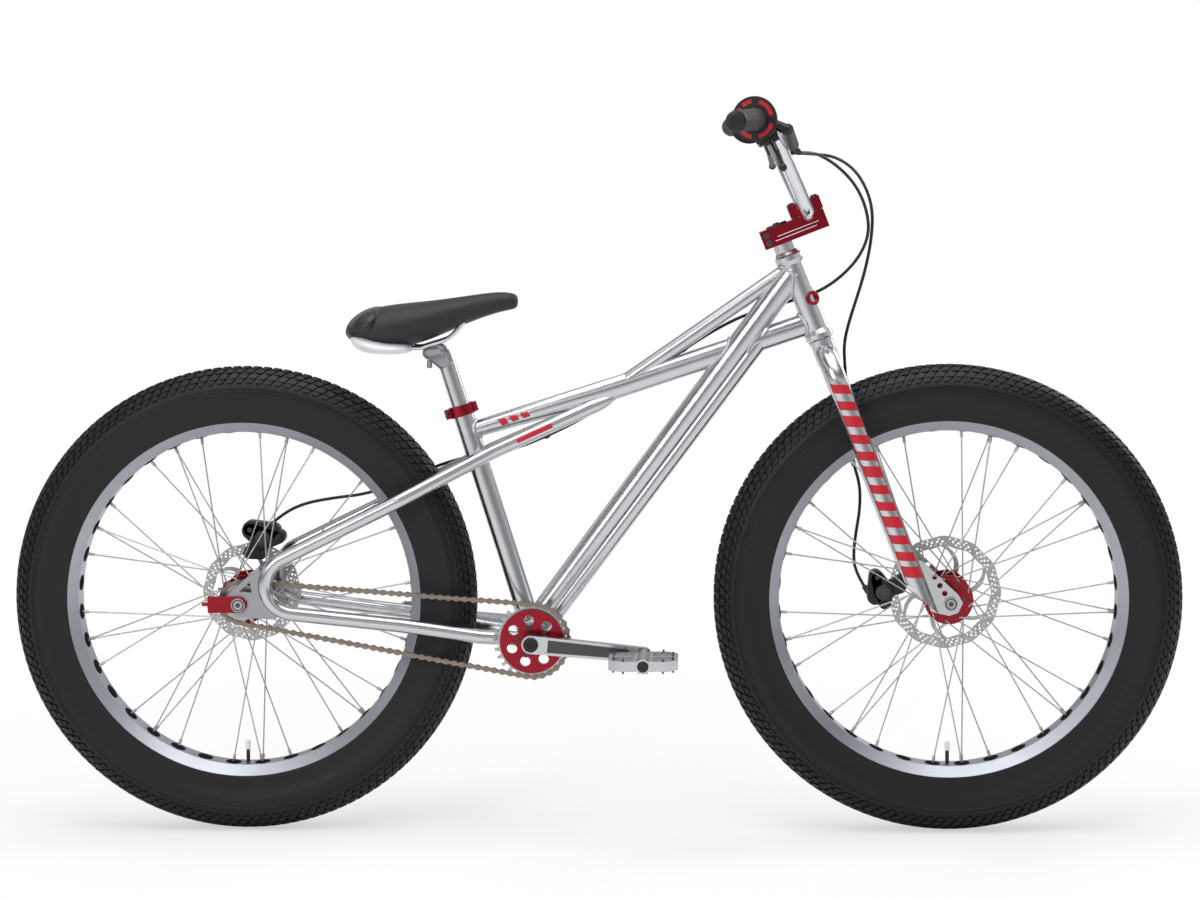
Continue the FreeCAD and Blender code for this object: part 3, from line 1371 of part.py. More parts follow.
def build_seat():
    top = S.seat_tube_length + S.post_above_collar
    low = S.seat_tube_length - S.post_insertion
    inner = S.seat_post_radius - S.post_wall
    corners = [(inner, low), (S.seat_post_radius, low), (S.seat_post_radius, top), (inner, top)]
    piece(place(turned("seat_post_body", corners, "z"), CRANK, -S.seat_tube_lean), "seat_post")

    head = on_seat(top)
    rails = []
    rail_shapes = []
    for side in (1, -1):
        spread = side * float(S.saddle_rail_spread)
        points = [
            head + Vector(-112, spread * 1.4, 52),
            head + Vector(-48, spread, 21),
            head + Vector(6, spread, 38),
            head + Vector(46, spread * 0.45, 84),
        ]
        path = rounded_path(points, (40, 40))
        rail_shapes.append(sweep_round(path, S.saddle_rail_radius))
    piece(feature("rail_pair", Part.makeCompound(rail_shapes)), "saddle_rails")

    length = float(S.clamp_head_length)
    rise = float(S.clamp_head_height)
    half = float(S.clamp_head_half_width)
    clamp = Part.makeBox(length, half * 2, rise, Vector(-length / 2, -half, 0))
    jaws = Part.makeBox(
        length * 0.8, float(S.saddle_rail_spread) * 2 + 14, 12, Vector(-length * 0.4, -float(S.saddle_rail_spread) - 7, rise - 14))
    clamp = clamp.fuse(jaws)
    clamp.Placement = FreeCAD.Placement(head + Vector(-14, 0, -2), FreeCAD.Rotation(Vector(0, 1, 0), -12))
    post_fill = round_bar(on_seat(low), head, S.seat_post_radius)
    clamp = clamp.cut([post_fill] + rail_shapes)
    piece(feature("clamp_shape", largest(clamp)), "saddle_clamp")

    piece(feature("saddle_shape", build_saddle(head, rail_shapes)), "saddle")


def build_saddle(head, rails):
    """A padded saddle lofted from rear to nose, hollowed a little underneath."""
    wide = float(S.saddle_half_width)
    stations = [
        (-148, 0.62, 64, 40), (-123, 0.92, 86, 18), (-80, 1.0, 92, 15), (-25, 0.72, 96.5, 32),
        (30, 0.42, 104, 60), (80, 0.28, 110.5, 79), (102, 0.2, 102, 84), (112, 0.09, 91, 86),
    ]
    sections = []
    for along, share, top, low in stations:
        half = wide * share
        middle = (top + low) / 2
        points = [
            Vector(along, 0, top), Vector(along, half * 0.62, top - (top - low) * 0.12),
            Vector(along, half, middle - (top - low) * 0.1), Vector(along, half * 0.82, low),
            Vector(along, 0, low + (top - low) * 0.25),
            Vector(along, -half * 0.82, low), Vector(along, -half, middle - (top - low) * 0.1),
            Vector(along, -half * 0.62, top - (top - low) * 0.12),
        ]
        curve = Part.BSplineCurve()
        curve.interpolate(points, PeriodicFlag=True)
        sections.append(Part.Wire(curve.toShape()))
    saddle = Part.makeLoft(sections, True, False)
    saddle.translate(head)
    return largest(saddle.cut(rails))


# ---------------------------------------------------------------- brakes

def caliper_places():
    """Each caliper's disc centre, disc radius and angle round the disc."""
    front = Vector(float(S.fork_offset), float(S.front_rotor_offset), -float(S.fork_length))
    rear = Vector(float(REAR_AXLE[0]), float(S.rear_rotor_offset), float(REAR_AXLE[2]))
    return {
        "front_caliper": (front, S.front_rotor_radius, S.front_caliper_angle),
        "rear_caliper": (rear, S.rear_rotor_radius, S.rear_caliper_angle),
    }


def build_caliper(name, hose_end, neighbours):
    """A block over the rim of the brake disc, its arm to the frame and its hose gland."""
    centre, rotor_radius, angle = caliper_places()[name]
    half = float(S.caliper_thickness) / 2
    slot = float(S.caliper_slot)
    rim = float(rotor_radius)
    low = rim - float(S.caliper_depth)
    length = float(S.caliper_length)
    solid = Part.makeBox(rim + 22 - low, half * 2, length, Vector(low, -half, -length / 2))
    solid = solid.makeFillet(12, [
        edge for edge in solid.Edges
        if abs(edge.BoundBox.YLength - half * 2) < 0.1 and edge.BoundBox.XMin > rim])
    solid = solid.cut(Part.makeBox(rim + 4, slot, length + 2, Vector(0, -slot / 2, -length / 2 - 1)))
    arm = Part.makeBox(rim + 8 - low, 6, 62, Vector(low, half - 6, -62))
    whole = solid.fuse(arm)
    whole.Placement = FreeCAD.Placement(centre, FreeCAD.Rotation(Vector(0, 1, 0), -float(angle)))
    before, tip = hose_end
    inward = (tip - before).normalize()
    gland = round_bar(tip, tip + inward * float(S.gland_length), S.gland_radius)
    whole = whole.fuse(gland)
    return whole.cut(neighbours)


def build_calipers():
    by_name = {item.Label: item.Shape for item in PIECES}
    tilt = STEERING.inverse()
    leg = by_name["left_fork_leg"].copy()
    leg.Placement = tilt.multiply(leg.Placement)
    front = build_caliper("front_caliper", [Vector(*spot) for spot in FRONT_HOSE[-2:]], [leg])
    piece(feature("front_caliper_shape", steered_shape(largest(front))), "front_caliper")
    rear = build_caliper("rear_caliper", [along_frame(spot) for spot in REAR_HOSE[-2:]],
                         [by_name["left_stay"], by_name["left_dropout"]])
    piece(feature("rear_caliper_shape", largest(rear)), "rear_caliper")


def build_hose(name, points):
    """A brake hose of straight runs and tangent arcs."""
    radii = cord_radii(points)
    path = rounded_path(points, radii)
    hose = sweep_round(path, S.hose_radius)
    section = math.pi * float(S.hose_radius) ** 2
    print("%s radii %s volume ratio %.4f" % (
        name, " ".join("%.0f" % radius for radius in radii), hose.Volume / (section * path.Length)))
    piece(feature(name + "_shape", hose), name)


# The front hose, about the steering axis: out of the left lever, forward and down in an
# arc, round the outside of the left fork leg and back to the caliper.
FRONT_HOSE = [
    (112.5, 125, 262), (133.9, 108, 245), (148.6, 95, 221), (154, 84, 194), (153.4, 76, 167),
    (146.6, 70, 141), (134.7, 66, 116), (121, 63, 92), (99.8, 61, 61), (76, 61, 31),
    (52, 66, 1), (33, 75, -28), (22, 86, -62), (12, 95, -98), (-1, 98, -136),
    (-14, 96, -174), (-21, 95, -212), (-24, 95, -250), (-38, 95, -285), (-56, 93, -315),
    (-72, 91, -344), (-81, 84, -373), (-75, 70, -402),
]

# The rear hose: a free loop from the right lever to the head tube, from the head tube's
# foot, then along the left of the frame tubes to the caliper, in thousandths of the way
# from the rear axle to the head tube's foot.
REAR_HOSE_LOOP = [
    (-14.6, -122, 287.4), (6.4, -95, 278.4), (28.4, -69, 263.4), (49.4, -45, 242.4),
    (64.4, -22, 218.4), (73.4, -2, 193.4), (77.4, 14, 168.4), (72.4, 26, 143.4),
    (59.4, 32, 119.4), (39.4, 34, 97.4), (17.4, 33, 80.4), (-6.6, 30, 67.4),
]
REAR_HOSE = [
    (932.7, 27, 456), (876, 24, 442), (820.5, 20, 418), (764.9, 19, 386),
    (706, 19, 348), (646.1, 22, 310), (584.9, 29, 276), (525, 37, 249),
    (467.2, 44, 228), (413.9, 51, 220), (360.5, 57, 210), (307.2, 66, 192),
    (251.6, 76, 168), (196.1, 83, 152), (138.3, 86, 146), (87.2, 86, 137),
    (51.7, 80, 121), (28.3, 73, 103),
]


def near_head(spot):
    return Vector(*HEAD_FOOT) + Vector(*spot)


def along_frame(spot):
    along, side, up = spot
    rear = Vector(*REAR_AXLE)
    return rear + Vector((HEAD_FOOT[0] - REAR_AXLE[0]) * along / 1000, side, up)


def build_hoses():
    front = [hose_port(1)] + [Vector(*spot) for spot in FRONT_HOSE]
    build_hose("front_brake_hose", [STEERING.multVec(spot) for spot in front])
    loop = [near_head(spot) for spot in REAR_HOSE_LOOP]
    rest = [along_frame(spot) for spot in REAR_HOSE]
    joint = (loop[-1] + rest[0]) * 0.5
    build_hose("rear_hose_loop", [STEERING.multVec(hose_port(-1))] + loop + [joint])
    build_hose("rear_brake_hose", [joint] + rest)


# ---------------------------------------------------------------- assembly

def build_all():
    build_wheel("front", FRONT_AXLE, S.front_hub_width, S.front_flange_offset,
                S.front_rotor_offset, S.front_rotor_radius)
    build_wheel("rear", REAR_AXLE, S.rear_hub_width, S.rear_flange_offset,
                S.rear_rotor_offset, S.rear_rotor_radius)
    build_axle("front", FRONT_AXLE, S.front_hub_width, S.fork_dropout_thickness)
    build_axle("rear", REAR_AXLE, S.rear_hub_width, S.dropout_thickness + S.tensioner_thickness)
    build_head_tube()
    build_frame()
    build_seat_collar()
    build_crank_bearings()
    build_headset()
    build_fork()
    build_stem()
    build_handlebar()
    build_grips()
    build_brake_levers()
    build_crank_set()
    build_pedals()
    build_cog()
    build_chain()
    build_seat()
    build_calipers()
    build_hoses()


def check_and_write():
    doc.recompute()
    for item in doc.Objects:
        faults = [state for state in item.State if state in ("Invalid", "Error")]
        if faults:
            raise RuntimeError("%s is %s" % (item.Name, faults))
    for item in PIECES:
        if item.Shape.isNull() or not item.Shape.isValid():
            raise RuntimeError("%s has no valid shape" % item.Label)
    os.makedirs("parts", exist_ok=True)
    for item in PIECES:
        item.Shape.exportStep("parts/%s.step" % item.Label)
    print("%d nodes" % len(PIECES))


build_all()
check_and_write()
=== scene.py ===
"""Looks of a fat-tyred BMX cruiser: tyres, discs, chain, grips, saddle, trim and finishes."""
import json
from math import acos, atan2, cos, pi, radians, sin, sqrt

import bmesh
import bpy
from bpy.props import FloatProperty, FloatVectorProperty, IntProperty, PointerProperty
from mathutils import Matrix, Vector


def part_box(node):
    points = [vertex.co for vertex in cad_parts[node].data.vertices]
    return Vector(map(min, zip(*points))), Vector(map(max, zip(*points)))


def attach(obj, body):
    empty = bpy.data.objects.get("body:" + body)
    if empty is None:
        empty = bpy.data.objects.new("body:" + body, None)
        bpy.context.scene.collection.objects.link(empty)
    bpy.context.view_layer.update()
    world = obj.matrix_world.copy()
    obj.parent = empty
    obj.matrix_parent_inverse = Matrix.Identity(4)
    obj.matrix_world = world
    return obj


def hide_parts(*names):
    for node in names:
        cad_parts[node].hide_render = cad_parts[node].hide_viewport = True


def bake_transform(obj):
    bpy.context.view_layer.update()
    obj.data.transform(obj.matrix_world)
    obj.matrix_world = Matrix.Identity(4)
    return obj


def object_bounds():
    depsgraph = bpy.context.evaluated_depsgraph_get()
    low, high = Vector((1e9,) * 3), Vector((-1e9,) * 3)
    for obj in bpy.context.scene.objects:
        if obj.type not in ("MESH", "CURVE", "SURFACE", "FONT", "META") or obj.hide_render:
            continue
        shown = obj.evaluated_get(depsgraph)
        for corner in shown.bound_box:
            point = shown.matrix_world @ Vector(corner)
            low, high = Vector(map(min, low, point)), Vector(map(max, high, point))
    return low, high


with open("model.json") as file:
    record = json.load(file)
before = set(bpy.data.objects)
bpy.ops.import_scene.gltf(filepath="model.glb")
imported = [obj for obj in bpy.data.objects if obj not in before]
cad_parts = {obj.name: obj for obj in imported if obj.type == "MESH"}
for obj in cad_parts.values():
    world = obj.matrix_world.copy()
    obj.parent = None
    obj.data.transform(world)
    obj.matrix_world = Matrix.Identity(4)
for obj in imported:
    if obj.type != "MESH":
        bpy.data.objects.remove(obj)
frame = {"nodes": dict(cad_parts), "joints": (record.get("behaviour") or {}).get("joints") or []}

bl_info = {
    "name": "BMX cruiser",
    "version": (1, 0, 0),
    "blender": (4, 5, 0),
    "location": "View3D > Sidebar > Cruiser",
    "description": "Builds the looks of a fat-tyred BMX cruiser around its solids",
    "category": "Add Mesh",
}

CAD_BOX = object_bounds()
JOINTS = {joint["name"]: joint for joint in frame["joints"]}
MM = 0.001


def joint_place(name):
    return Vector(JOINTS[name]["pos_m"])


FRONT_AXLE = joint_place("front_wheel_spin")
REAR_AXLE = joint_place("rear_wheel_spin")
CRANK = joint_place("crank_spin")
HEAD_FOOT = joint_place("steering_turn")
HEAD_LEAN = atan2(JOINTS["steering_turn"]["axis"][0], JOINTS["steering_turn"]["axis"][2])
STEER = Matrix.Translation(HEAD_FOOT) @ Matrix.Rotation(HEAD_LEAN, 4, "Y")
HEAD_AXIS = STEER.to_3x3() @ Vector((0, 0, 1))
WHEEL_TURN = Matrix.Rotation(-pi / 2, 4, "X")

# The frame's lines that welds and stripes follow, from the crank's axis.
SEAT_LEAN = radians(17.4)
SEAT_AXIS = Vector((-sin(SEAT_LEAN), 0, cos(SEAT_LEAN)))
MID_TUBE_START = CRANK + SEAT_AXIS * 0.336
MID_TUBE_BEND = CRANK + Vector((0.1331, 0, 0.389))


def stay_line(side):
    """A stay's upper end and the point where it leaves the frame's middle."""
    high = CRANK + Vector((0.094, side * 0.008, 0.359))
    low = CRANK + Vector((-0.065, side * 0.030, 0.289))
    return high, low


# ---------------------------------------------------------------- sizes and colours

def length(name, description, default):
    return FloatProperty(name=name, description=description, default=default,
                         subtype="DISTANCE", unit="LENGTH", precision=4)


def tilt(name, description, degrees):
    return FloatProperty(name=name, description=description, default=radians(degrees),
                         subtype="ANGLE", unit="ROTATION")


def count(name, description, default):
    return IntProperty(name=name, description=description, default=default, min=1)


def colour(name, description, default):
    return FloatVectorProperty(name=name, description=description, default=default,
                               subtype="COLOR", min=0, max=1)


class CruiserWheelSizes(bpy.types.PropertyGroup):
    tyre_radius: length("Tyre radius", "Over the tread", 0.364)
    tyre_section: length("Section radius", "Half the tyre's width", 0.0435)
    tread_height: length("Tread height", "How far the blocks stand out", 0.0024)
    pitches: count("Tread pitches", "Rows of blocks round the tyre", 142)
    rim_edge: length("Rim edge radius", "Where tyre and rim meet", 0.287)
    rim_floor: length("Rim floor radius", "Inner face of the rim", 0.262)
    strip_width: length("Strip width", "Half width of the strip that each cut-out shows", 0.0165)
    strip_length: length("Strip length", "Half length of the strip in each cut-out", 0.0130)
    strip_swell: length("Strip swell", "How far the strip bulges through a cut-out", 0.0026)
    spokes: count("Spokes", "Spokes in a wheel", 36)
    valve_length: length("Valve length", "Stem and cap together", 0.036)
    front_disc: length("Front disc radius", "Brake disc of the front wheel", 0.089)
    rear_disc: length("Rear disc radius", "Brake disc of the rear wheel", 0.0785)
    disc_thickness: length("Disc thickness", "Thickness of both brake discs", 0.0018)


class CruiserDriveSizes(bpy.types.PropertyGroup):
    chain_pitch: length("Chain pitch", "Pin to pin", 0.0127)
    chain_line: length("Chain line", "From the middle plane to the chain", 0.057)
    ring_teeth: count("Ring teeth", "Teeth of the chainring", 28)
    cog_teeth: count("Cog teeth", "Teeth of the rear cog", 16)
    crank_drop: tilt("Crank angle", "Below level at rest", 5.5)
    arm_face: length("Arm face", "From the middle plane to an arm's outer face",
                     -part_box("right_crank_arm")[0].y)
    pin_radius: length("Pedal pin radius", "Grip pins on the pedals", 0.0016)


class CruiserBarSizes(bpy.types.PropertyGroup):
    reach: length("Stem reach", "Steering axis to bar clamp", 0.0512)
    clamp_height: length("Clamp height", "Head tube's foot to bar clamp", 0.1868)
    rise: length("Rise", "Clamp to the bend of the grips", 0.1604)
    sweep: length("Sweep", "Clamp to tip, rearward", 0.0562)
    lean_back: length("Lean", "Clamp to the upper bend, rearward", 0.0079)
    upsweep: length("Upsweep", "Upper bend to tip, upward", 0.0099)
    bend_width: length("Bend width", "Middle to the upper bend", 0.175)
    half_width: length("Half width", "Middle to the bar's tip", 0.381)
    lever_place: length("Lever place", "Middle to the brake levers' clamps", 0.226)
    grip_radius: length("Grip radius", "Over the ribs", 0.016)
    grip_length: length("Grip length", "Flange included", 0.125)
    flange_radius: length("Flange radius", "Disc at the grip's inner end", 0.0335)
    hose_diameter: length("Hose diameter", "Brake hoses", 0.005)


class CruiserSaddleSizes(bpy.types.PropertyGroup):
    half_width: length("Half width", "Saddle's widest half", 0.074)


class CruiserColours(bpy.types.PropertyGroup):
    polished: colour("Polished tubes", "Bare polished alloy", (0.60, 0.61, 0.63))
    plate: colour("Plates", "Blasted alloy plates", (0.40, 0.41, 0.43))
    satin: colour("Satin alloy", "Turned alloy", (0.60, 0.61, 0.63))
    rim: colour("Rims", "Satin rims", (0.47, 0.49, 0.54))
    red: colour("Red", "Anodised parts", (0.34, 0.008, 0.022))
    red_print: colour("Red print", "Stripes and arcs", (0.50, 0.010, 0.022))
    chrome: colour("Chrome", "Handlebar and rails", (0.74, 0.75, 0.77))
    steel: colour("Steel", "Discs, spokes and sprockets", (0.50, 0.50, 0.51))
    chain: colour("Chain", "Oiled bronze links", (0.30, 0.255, 0.21))
    dark: colour("Dark metal", "Bolts and axles", (0.10, 0.10, 0.105))
    tyre: colour("Tyre", "Tread rubber", (0.0060, 0.0060, 0.0068))
    grip: colour("Grip", "Ribbed rubber", (0.055, 0.052, 0.051))
    black: colour("Black", "Brake bodies, caps and hoses", (0.012, 0.012, 0.013))
    saddle: colour("Saddle", "Cover", (0.022, 0.022, 0.024))
    white: colour("White", "Bumper and valve caps", (0.80, 0.82, 0.85))
    floor: colour("Floor", "Studio floor and backdrop", (0.90, 0.90, 0.90))


class CruiserStageSizes(bpy.types.PropertyGroup):
    focal_length: FloatProperty(name="Lens", description="Focal length in mm", default=89.62)
    yaw: tilt("Yaw", "Camera's turn to the left", 2.18972)
    pitch: tilt("Pitch", "Camera's tilt down", 2.50769)
    roll: tilt("Roll", "Camera's roll", -0.322914)
    shift: FloatVectorProperty(name="Shift", description="Shift of the picture, across and up",
                               size=2, default=(0.0096, -0.1341))
    eye: FloatVectorProperty(name="Eye", description="Where the camera stands",
                             subtype="TRANSLATION", unit="LENGTH",
                             default=(0.1698, -4.64756, 1.04989))
    lamp: FloatProperty(name="Lamp", description="Power of the large lamps in watts", default=48.0)
    sky: FloatProperty(name="Sky", description="Strength of the sky's bands", default=0.95)


GROUPS = {
    "cruiser_wheels": CruiserWheelSizes, "cruiser_drive": CruiserDriveSizes,
    "cruiser_bar": CruiserBarSizes, "cruiser_saddle": CruiserSaddleSizes,
    "cruiser_colours": CruiserColours, "cruiser_stage": CruiserStageSizes,
}


def sizes(group):
    return getattr(bpy.context.scene, "cruiser_" + group)


# ---------------------------------------------------------------- materials

class Wire:
    """A node's output with plain arithmetic."""

    def __init__(self, nodes, socket):
        self.nodes = nodes
        self.socket = socket

    def maths(self, operation, first, second):
        return self.nodes.node("Math", {"operation": operation}, {0: first, 1: second})

    def __add__(self, other):
        return self.maths("ADD", self, other)

    def __mul__(self, other):
        return self.maths("MULTIPLY", self, other)


class Nodes:
    """A node tree that grows by one method."""

    def __init__(self, tree):
        self.tree = tree

    def node(self, kind, settings=None, inputs=None, output=0):
        """Adds a node: its settings first, then the values or links of its sockets."""
        node = self.tree.nodes.new("ShaderNode" + kind)
        for key, value in (settings or {}).items():
            if key == "stops":
                self.grey_stops(node.color_ramp.elements, value)
            else:
                setattr(node, key, value)
        for key, value in (inputs or {}).items():
            if isinstance(value, Wire):
                self.tree.links.new(value.socket, node.inputs[key])
            else:
                node.inputs[key].default_value = value
        return Wire(self, node.outputs[output])

    @staticmethod
    def grey_stops(ramp, stops):
        """Sets a ramp's stops, each (place, shade), in rising order."""
        for number, (place, shade) in enumerate(stops):
            stop = ramp[number] if number < 2 else ramp.new(place)
            stop.position = place
            stop.color = (shade, shade, shade, 1)


class Finish(Nodes):
    """A material built from nodes round one Principled shader."""

    def __init__(self, name, tint, roughness, metallic=0.0, coat=0.0, specular=0.5):
        self.material = bpy.data.materials.new(name)
        self.material.use_nodes = True
        super().__init__(self.material.node_tree)
        self.shader = self.tree.nodes["Principled BSDF"]
        self.shader.inputs["Base Color"].default_value = (*tint, 1)
        self.shader.inputs["Roughness"].default_value = roughness
        self.shader.inputs["Metallic"].default_value = metallic
        self.shader.inputs["Coat Weight"].default_value = coat
        self.shader.inputs["Specular IOR Level"].default_value = specular
        self.tint = (*tint, 1)

    def place(self):
        return self.node("TexCoord", output="Object")

    def noise(self, scale, detail=2.0, place=None):
        return self.node("TexNoise", inputs={"Vector": place or self.place(), "Scale": scale,
                                             "Detail": detail})

    def feed(self, socket, value):
        self.tree.links.new(value.socket, self.shader.inputs[socket])

    def bump(self, height, depth, strength=1.0):
        self.feed("Normal", self.node("Bump", inputs={"Height": height, "Distance": depth,
                                                      "Strength": strength}))

    def shade(self, mask, other):
        """Mixes the base colour towards another by a mask."""
        self.feed("Base Color", self.node("Mix", {"data_type": "RGBA"},
                                          {0: mask, 6: self.tint, 7: (*other, 1)}, output=2))


def grained(name, tint, roughness, grain, clouds, bump, wear, **shader):
    """A surface whose gloss, relief and tint vary.

    grain and clouds are each (scale, detail, spread of roughness), bump is (depth, strength),
    and wear is how far the clouds tint it and the factor on its colour."""
    finish = Finish(name, tint, roughness, **shader)
    place = finish.place()
    fine = finish.noise(grain[0], grain[1], place)
    cloud = finish.noise(clouds[0], clouds[1], place)
    middle = (grain[2] + clouds[2]) / 2
    finish.feed("Roughness", cloud * clouds[2] + fine * grain[2] + (roughness - middle))
    finish.bump(fine, *bump)
    finish.shade(cloud * wear[0], tuple(min(1.0, part * wear[1]) for part in tint))
    return finish.material


def brushed(name, tint, roughness, grain=700.0, depth=0.00002):
    """Bare metal: fine grain, faint cloudy wear and a soft change of gloss."""
    return grained(name, tint, roughness, (grain, 3.0, 0.08), (14.0, 3.0, 0.14), (depth, 0.5),
                   (0.25, 0.82), metallic=1.0)


def anodised(name, tint, roughness=0.28):
    """Dyed alloy: metallic, with a satin grain and darker wear."""
    return grained(name, tint, roughness, (900.0, 2.0, 0.12), (30.0, 2.0, 0.08), (0.00002, 0.5),
                   (0.4, 0.7), metallic=0.82, coat=0.15)


def moulded(name, tint, roughness, grain=1100.0, depth=0.00006, coat=0.0, specular=0.35):
    """Plastic, paint or rubber with a fine moulded grain."""
    return grained(name, tint, roughness, (grain, 3.0, 0.14), (22.0, 2.0, 0.10), (depth, 1.0),
                   (0.5, 1.35), coat=coat, specular=specular)


def tyre_rubber(name, tint):
    """Tread rubber with fine mould grain and a trace of dust between the blocks."""
    return grained(name, tint, 0.52, (1500.0, 2.0, 0.10), (60.0, 4.0, 0.22), (0.00008, 1.0),
                   (0.35, 2.4), specular=0.34)


def saddle_cover(name, tint):
    """Vinyl with a pebbled leather grain."""
    finish = Finish(name, tint, 0.5, specular=0.3)
    place = finish.place()
    cells = finish.node("TexVoronoi", {"feature": "DISTANCE_TO_EDGE"},
                        {"Vector": place, "Scale": 620.0})
    cloud = finish.noise(40.0, 3.0, place)
    finish.feed("Roughness", cloud * 0.16 + 0.42)
    finish.bump(cells, 0.0004, 0.8)
    finish.shade(cloud * 0.6, tuple(part * 1.5 for part in tint))
    return finish.material


def plain_stage(name, tint, lift):
    """Studio floor: plain near the bicycle, lifted to white for the eye further out."""
    finish = Finish(name, tint, 0.9, specular=0.0)
    finish.shade(finish.noise(6.0) * 0.04, tuple(part * 0.98 for part in tint))
    seen = finish.node("LightPath", output="Is Camera Ray")
    far = finish.node("VectorMath", {"operation": "LENGTH"}, {0: finish.place()}, output=1)
    fade = finish.node("MapRange", {"interpolation_type": "SMOOTHSTEP"},
                       {0: far, 1: 0.75, 2: 1.7, 3: lift, 4: 1.0})
    plain = finish.node("Emission", inputs={"Color": (1, 1, 1, 1), "Strength": 1.0})
    floor = Wire(finish, finish.shader.outputs[0])
    lifted = finish.node("MixShader", inputs={0: seen * fade, 1: floor, 2: plain})
    finish.tree.links.new(lifted.socket, finish.tree.nodes["Material Output"].inputs[0])
    return finish.material


LOOKS = {}


def mix_finishes():
    tint = sizes("colours")
    LOOKS.update(
        polished=brushed("polished_alloy", tint.polished, 0.24),
        plate=brushed("blasted_plate", tint.plate, 0.44, grain=500.0),
        satin=brushed("turned_alloy", tint.satin, 0.30),
        rim=brushed("satin_rim", tint.rim, 0.42),
        red=anodised("red_anodised", tint.red),
        print=moulded("red_print", tint.red_print, 0.38, coat=0.2),
        chrome=brushed("mirror_chrome", tint.chrome, 0.13, depth=0.000005),
        steel=brushed("ground_steel", tint.steel, 0.34),
        chain=brushed("oiled_links", tint.chain, 0.40),
        dark=brushed("dark_steel", tint.dark, 0.42),
        tyre=tyre_rubber("tread_rubber", tint.tyre),
        grip=moulded("grip_rubber", tint.grip, 0.62),
        black=moulded("black_satin", tint.black, 0.38, coat=0.1),
        hose=moulded("hose_black", tint.black, 0.42),
        strip=moulded("rim_strip", tint.black, 0.8, specular=0.03),
        saddle=saddle_cover("saddle_vinyl", tint.saddle),
        panel=moulded("saddle_panel", tint.saddle, 0.34, grain=500.0),
        white=moulded("white_plastic", tint.white, 0.3),
    )


# ---------------------------------------------------------------- building helpers

def settle(bm, name, body, look, angle=35.0, stands_for=()):
    """Turns a bmesh into a finished piece that rides on a body."""
    bmesh.ops.remove_doubles(bm, verts=bm.verts, dist=1e-6)
    bmesh.ops.recalc_face_normals(bm, faces=bm.faces)
    mesh = bpy.data.meshes.new(name)
    bm.to_mesh(mesh)
    bm.free()
    mesh.shade_smooth()
    mesh.set_sharp_from_angle(angle=radians(angle))
    mesh.materials.append(LOOKS[look])
    piece = bpy.data.objects.new(name, mesh)
    bpy.context.scene.collection.objects.link(piece)
    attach(piece, body)
    if stands_for:
        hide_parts(*stands_for)
    return piece


def lathe(bm, profile, steps, matrix, closed=False):
    """Turns a profile of (radius, along) about Z and puts it in place."""
    verts = [bm.verts.new((radius, 0, along)) for radius, along in profile]
    edges = [bm.edges.new(pair) for pair in zip(verts, verts[1:])]
    if closed:
        edges.append(bm.edges.new((verts[-1], verts[0])))
    older = set(bm.verts) - set(verts)
    bmesh.ops.spin(bm, geom=verts + edges, axis=(0, 0, 1), cent=(0, 0, 0), steps=steps,
                   angle=2 * pi, use_merge=True)
    bmesh.ops.transform(bm, matrix=matrix, verts=[vert for vert in bm.verts if vert not in older])


def toward(start, heading):
    """The matrix that puts Z along a heading, with the origin at start."""
    turn = Vector(heading).normalized().to_track_quat("Z", "Y").to_matrix().to_4x4()
    return Matrix.Translation(start) @ turn


def stub(bm, start, finish, radius, edge=0.0, segments=20):
    """A round bar with a small round-over at both ends."""
    start, finish = Vector(start), Vector(finish)
    high = (finish - start).length
    profile = [(0, 0), (radius - edge, 0), (radius, edge), (radius, high - edge),
               (radius - edge, high), (0, high)]
    lathe(bm, profile, segments, toward(start, finish - start))


def hex_head(bm, start, heading, radius, high):
    """A socket-head screw: a short round head with a hexagon pit."""
    profile = [(0, high - radius * 0.5), (radius * 0.5, high - radius * 0.5),
               (radius * 0.5, high), (radius * 0.88, high), (radius, high - radius * 0.12),
               (radius, 0), (0, 0)]
    lathe(bm, profile, 12, toward(start, heading))


def flat_plate(name, outlines, thickness):
    """A bmesh of a flat plate in XY from closed outlines; inner ones are holes."""
    curve = bpy.data.curves.new(name, "CURVE")
    curve.dimensions = "2D"
    curve.fill_mode = "BOTH"
    curve.extrude = thickness / 2
    for outline in outlines:
        spline = curve.splines.new("POLY")
        spline.points.add(len(outline) - 1)
        for point, (across, up) in zip(spline.points, outline):
            point.co = (across, up, 0, 1)
        spline.use_cyclic_u = True
    holder = bpy.data.objects.new(name, curve)
    mesh = bpy.data.meshes.new_from_object(holder)
    bm = bmesh.new()
    bm.from_mesh(mesh)
    bpy.data.objects.remove(holder)
    bpy.data.curves.remove(curve)
    bpy.data.meshes.remove(mesh)
    return bm


def polar(radius, angle):
    return radius * cos(angle), radius * sin(angle)


def circle(radius, centre=(0.0, 0.0), steps=12, wave=0.0, waves=1):
    """A closed outline: a circle, or a wavy one."""
    outline = []
    for number in range(steps):
        turn = 2 * pi * number / steps
        across, up = polar(radius + wave * cos(waves * turn), turn)
        outline.append((across + centre[0], up + centre[1]))
    return outline


def join(bm, other):
    """Moves the faces of another bmesh into this one."""
    mesh = bpy.data.meshes.new("join")
    other.to_mesh(mesh)
    other.free()
    bm.from_mesh(mesh)
    bpy.data.meshes.remove(mesh)


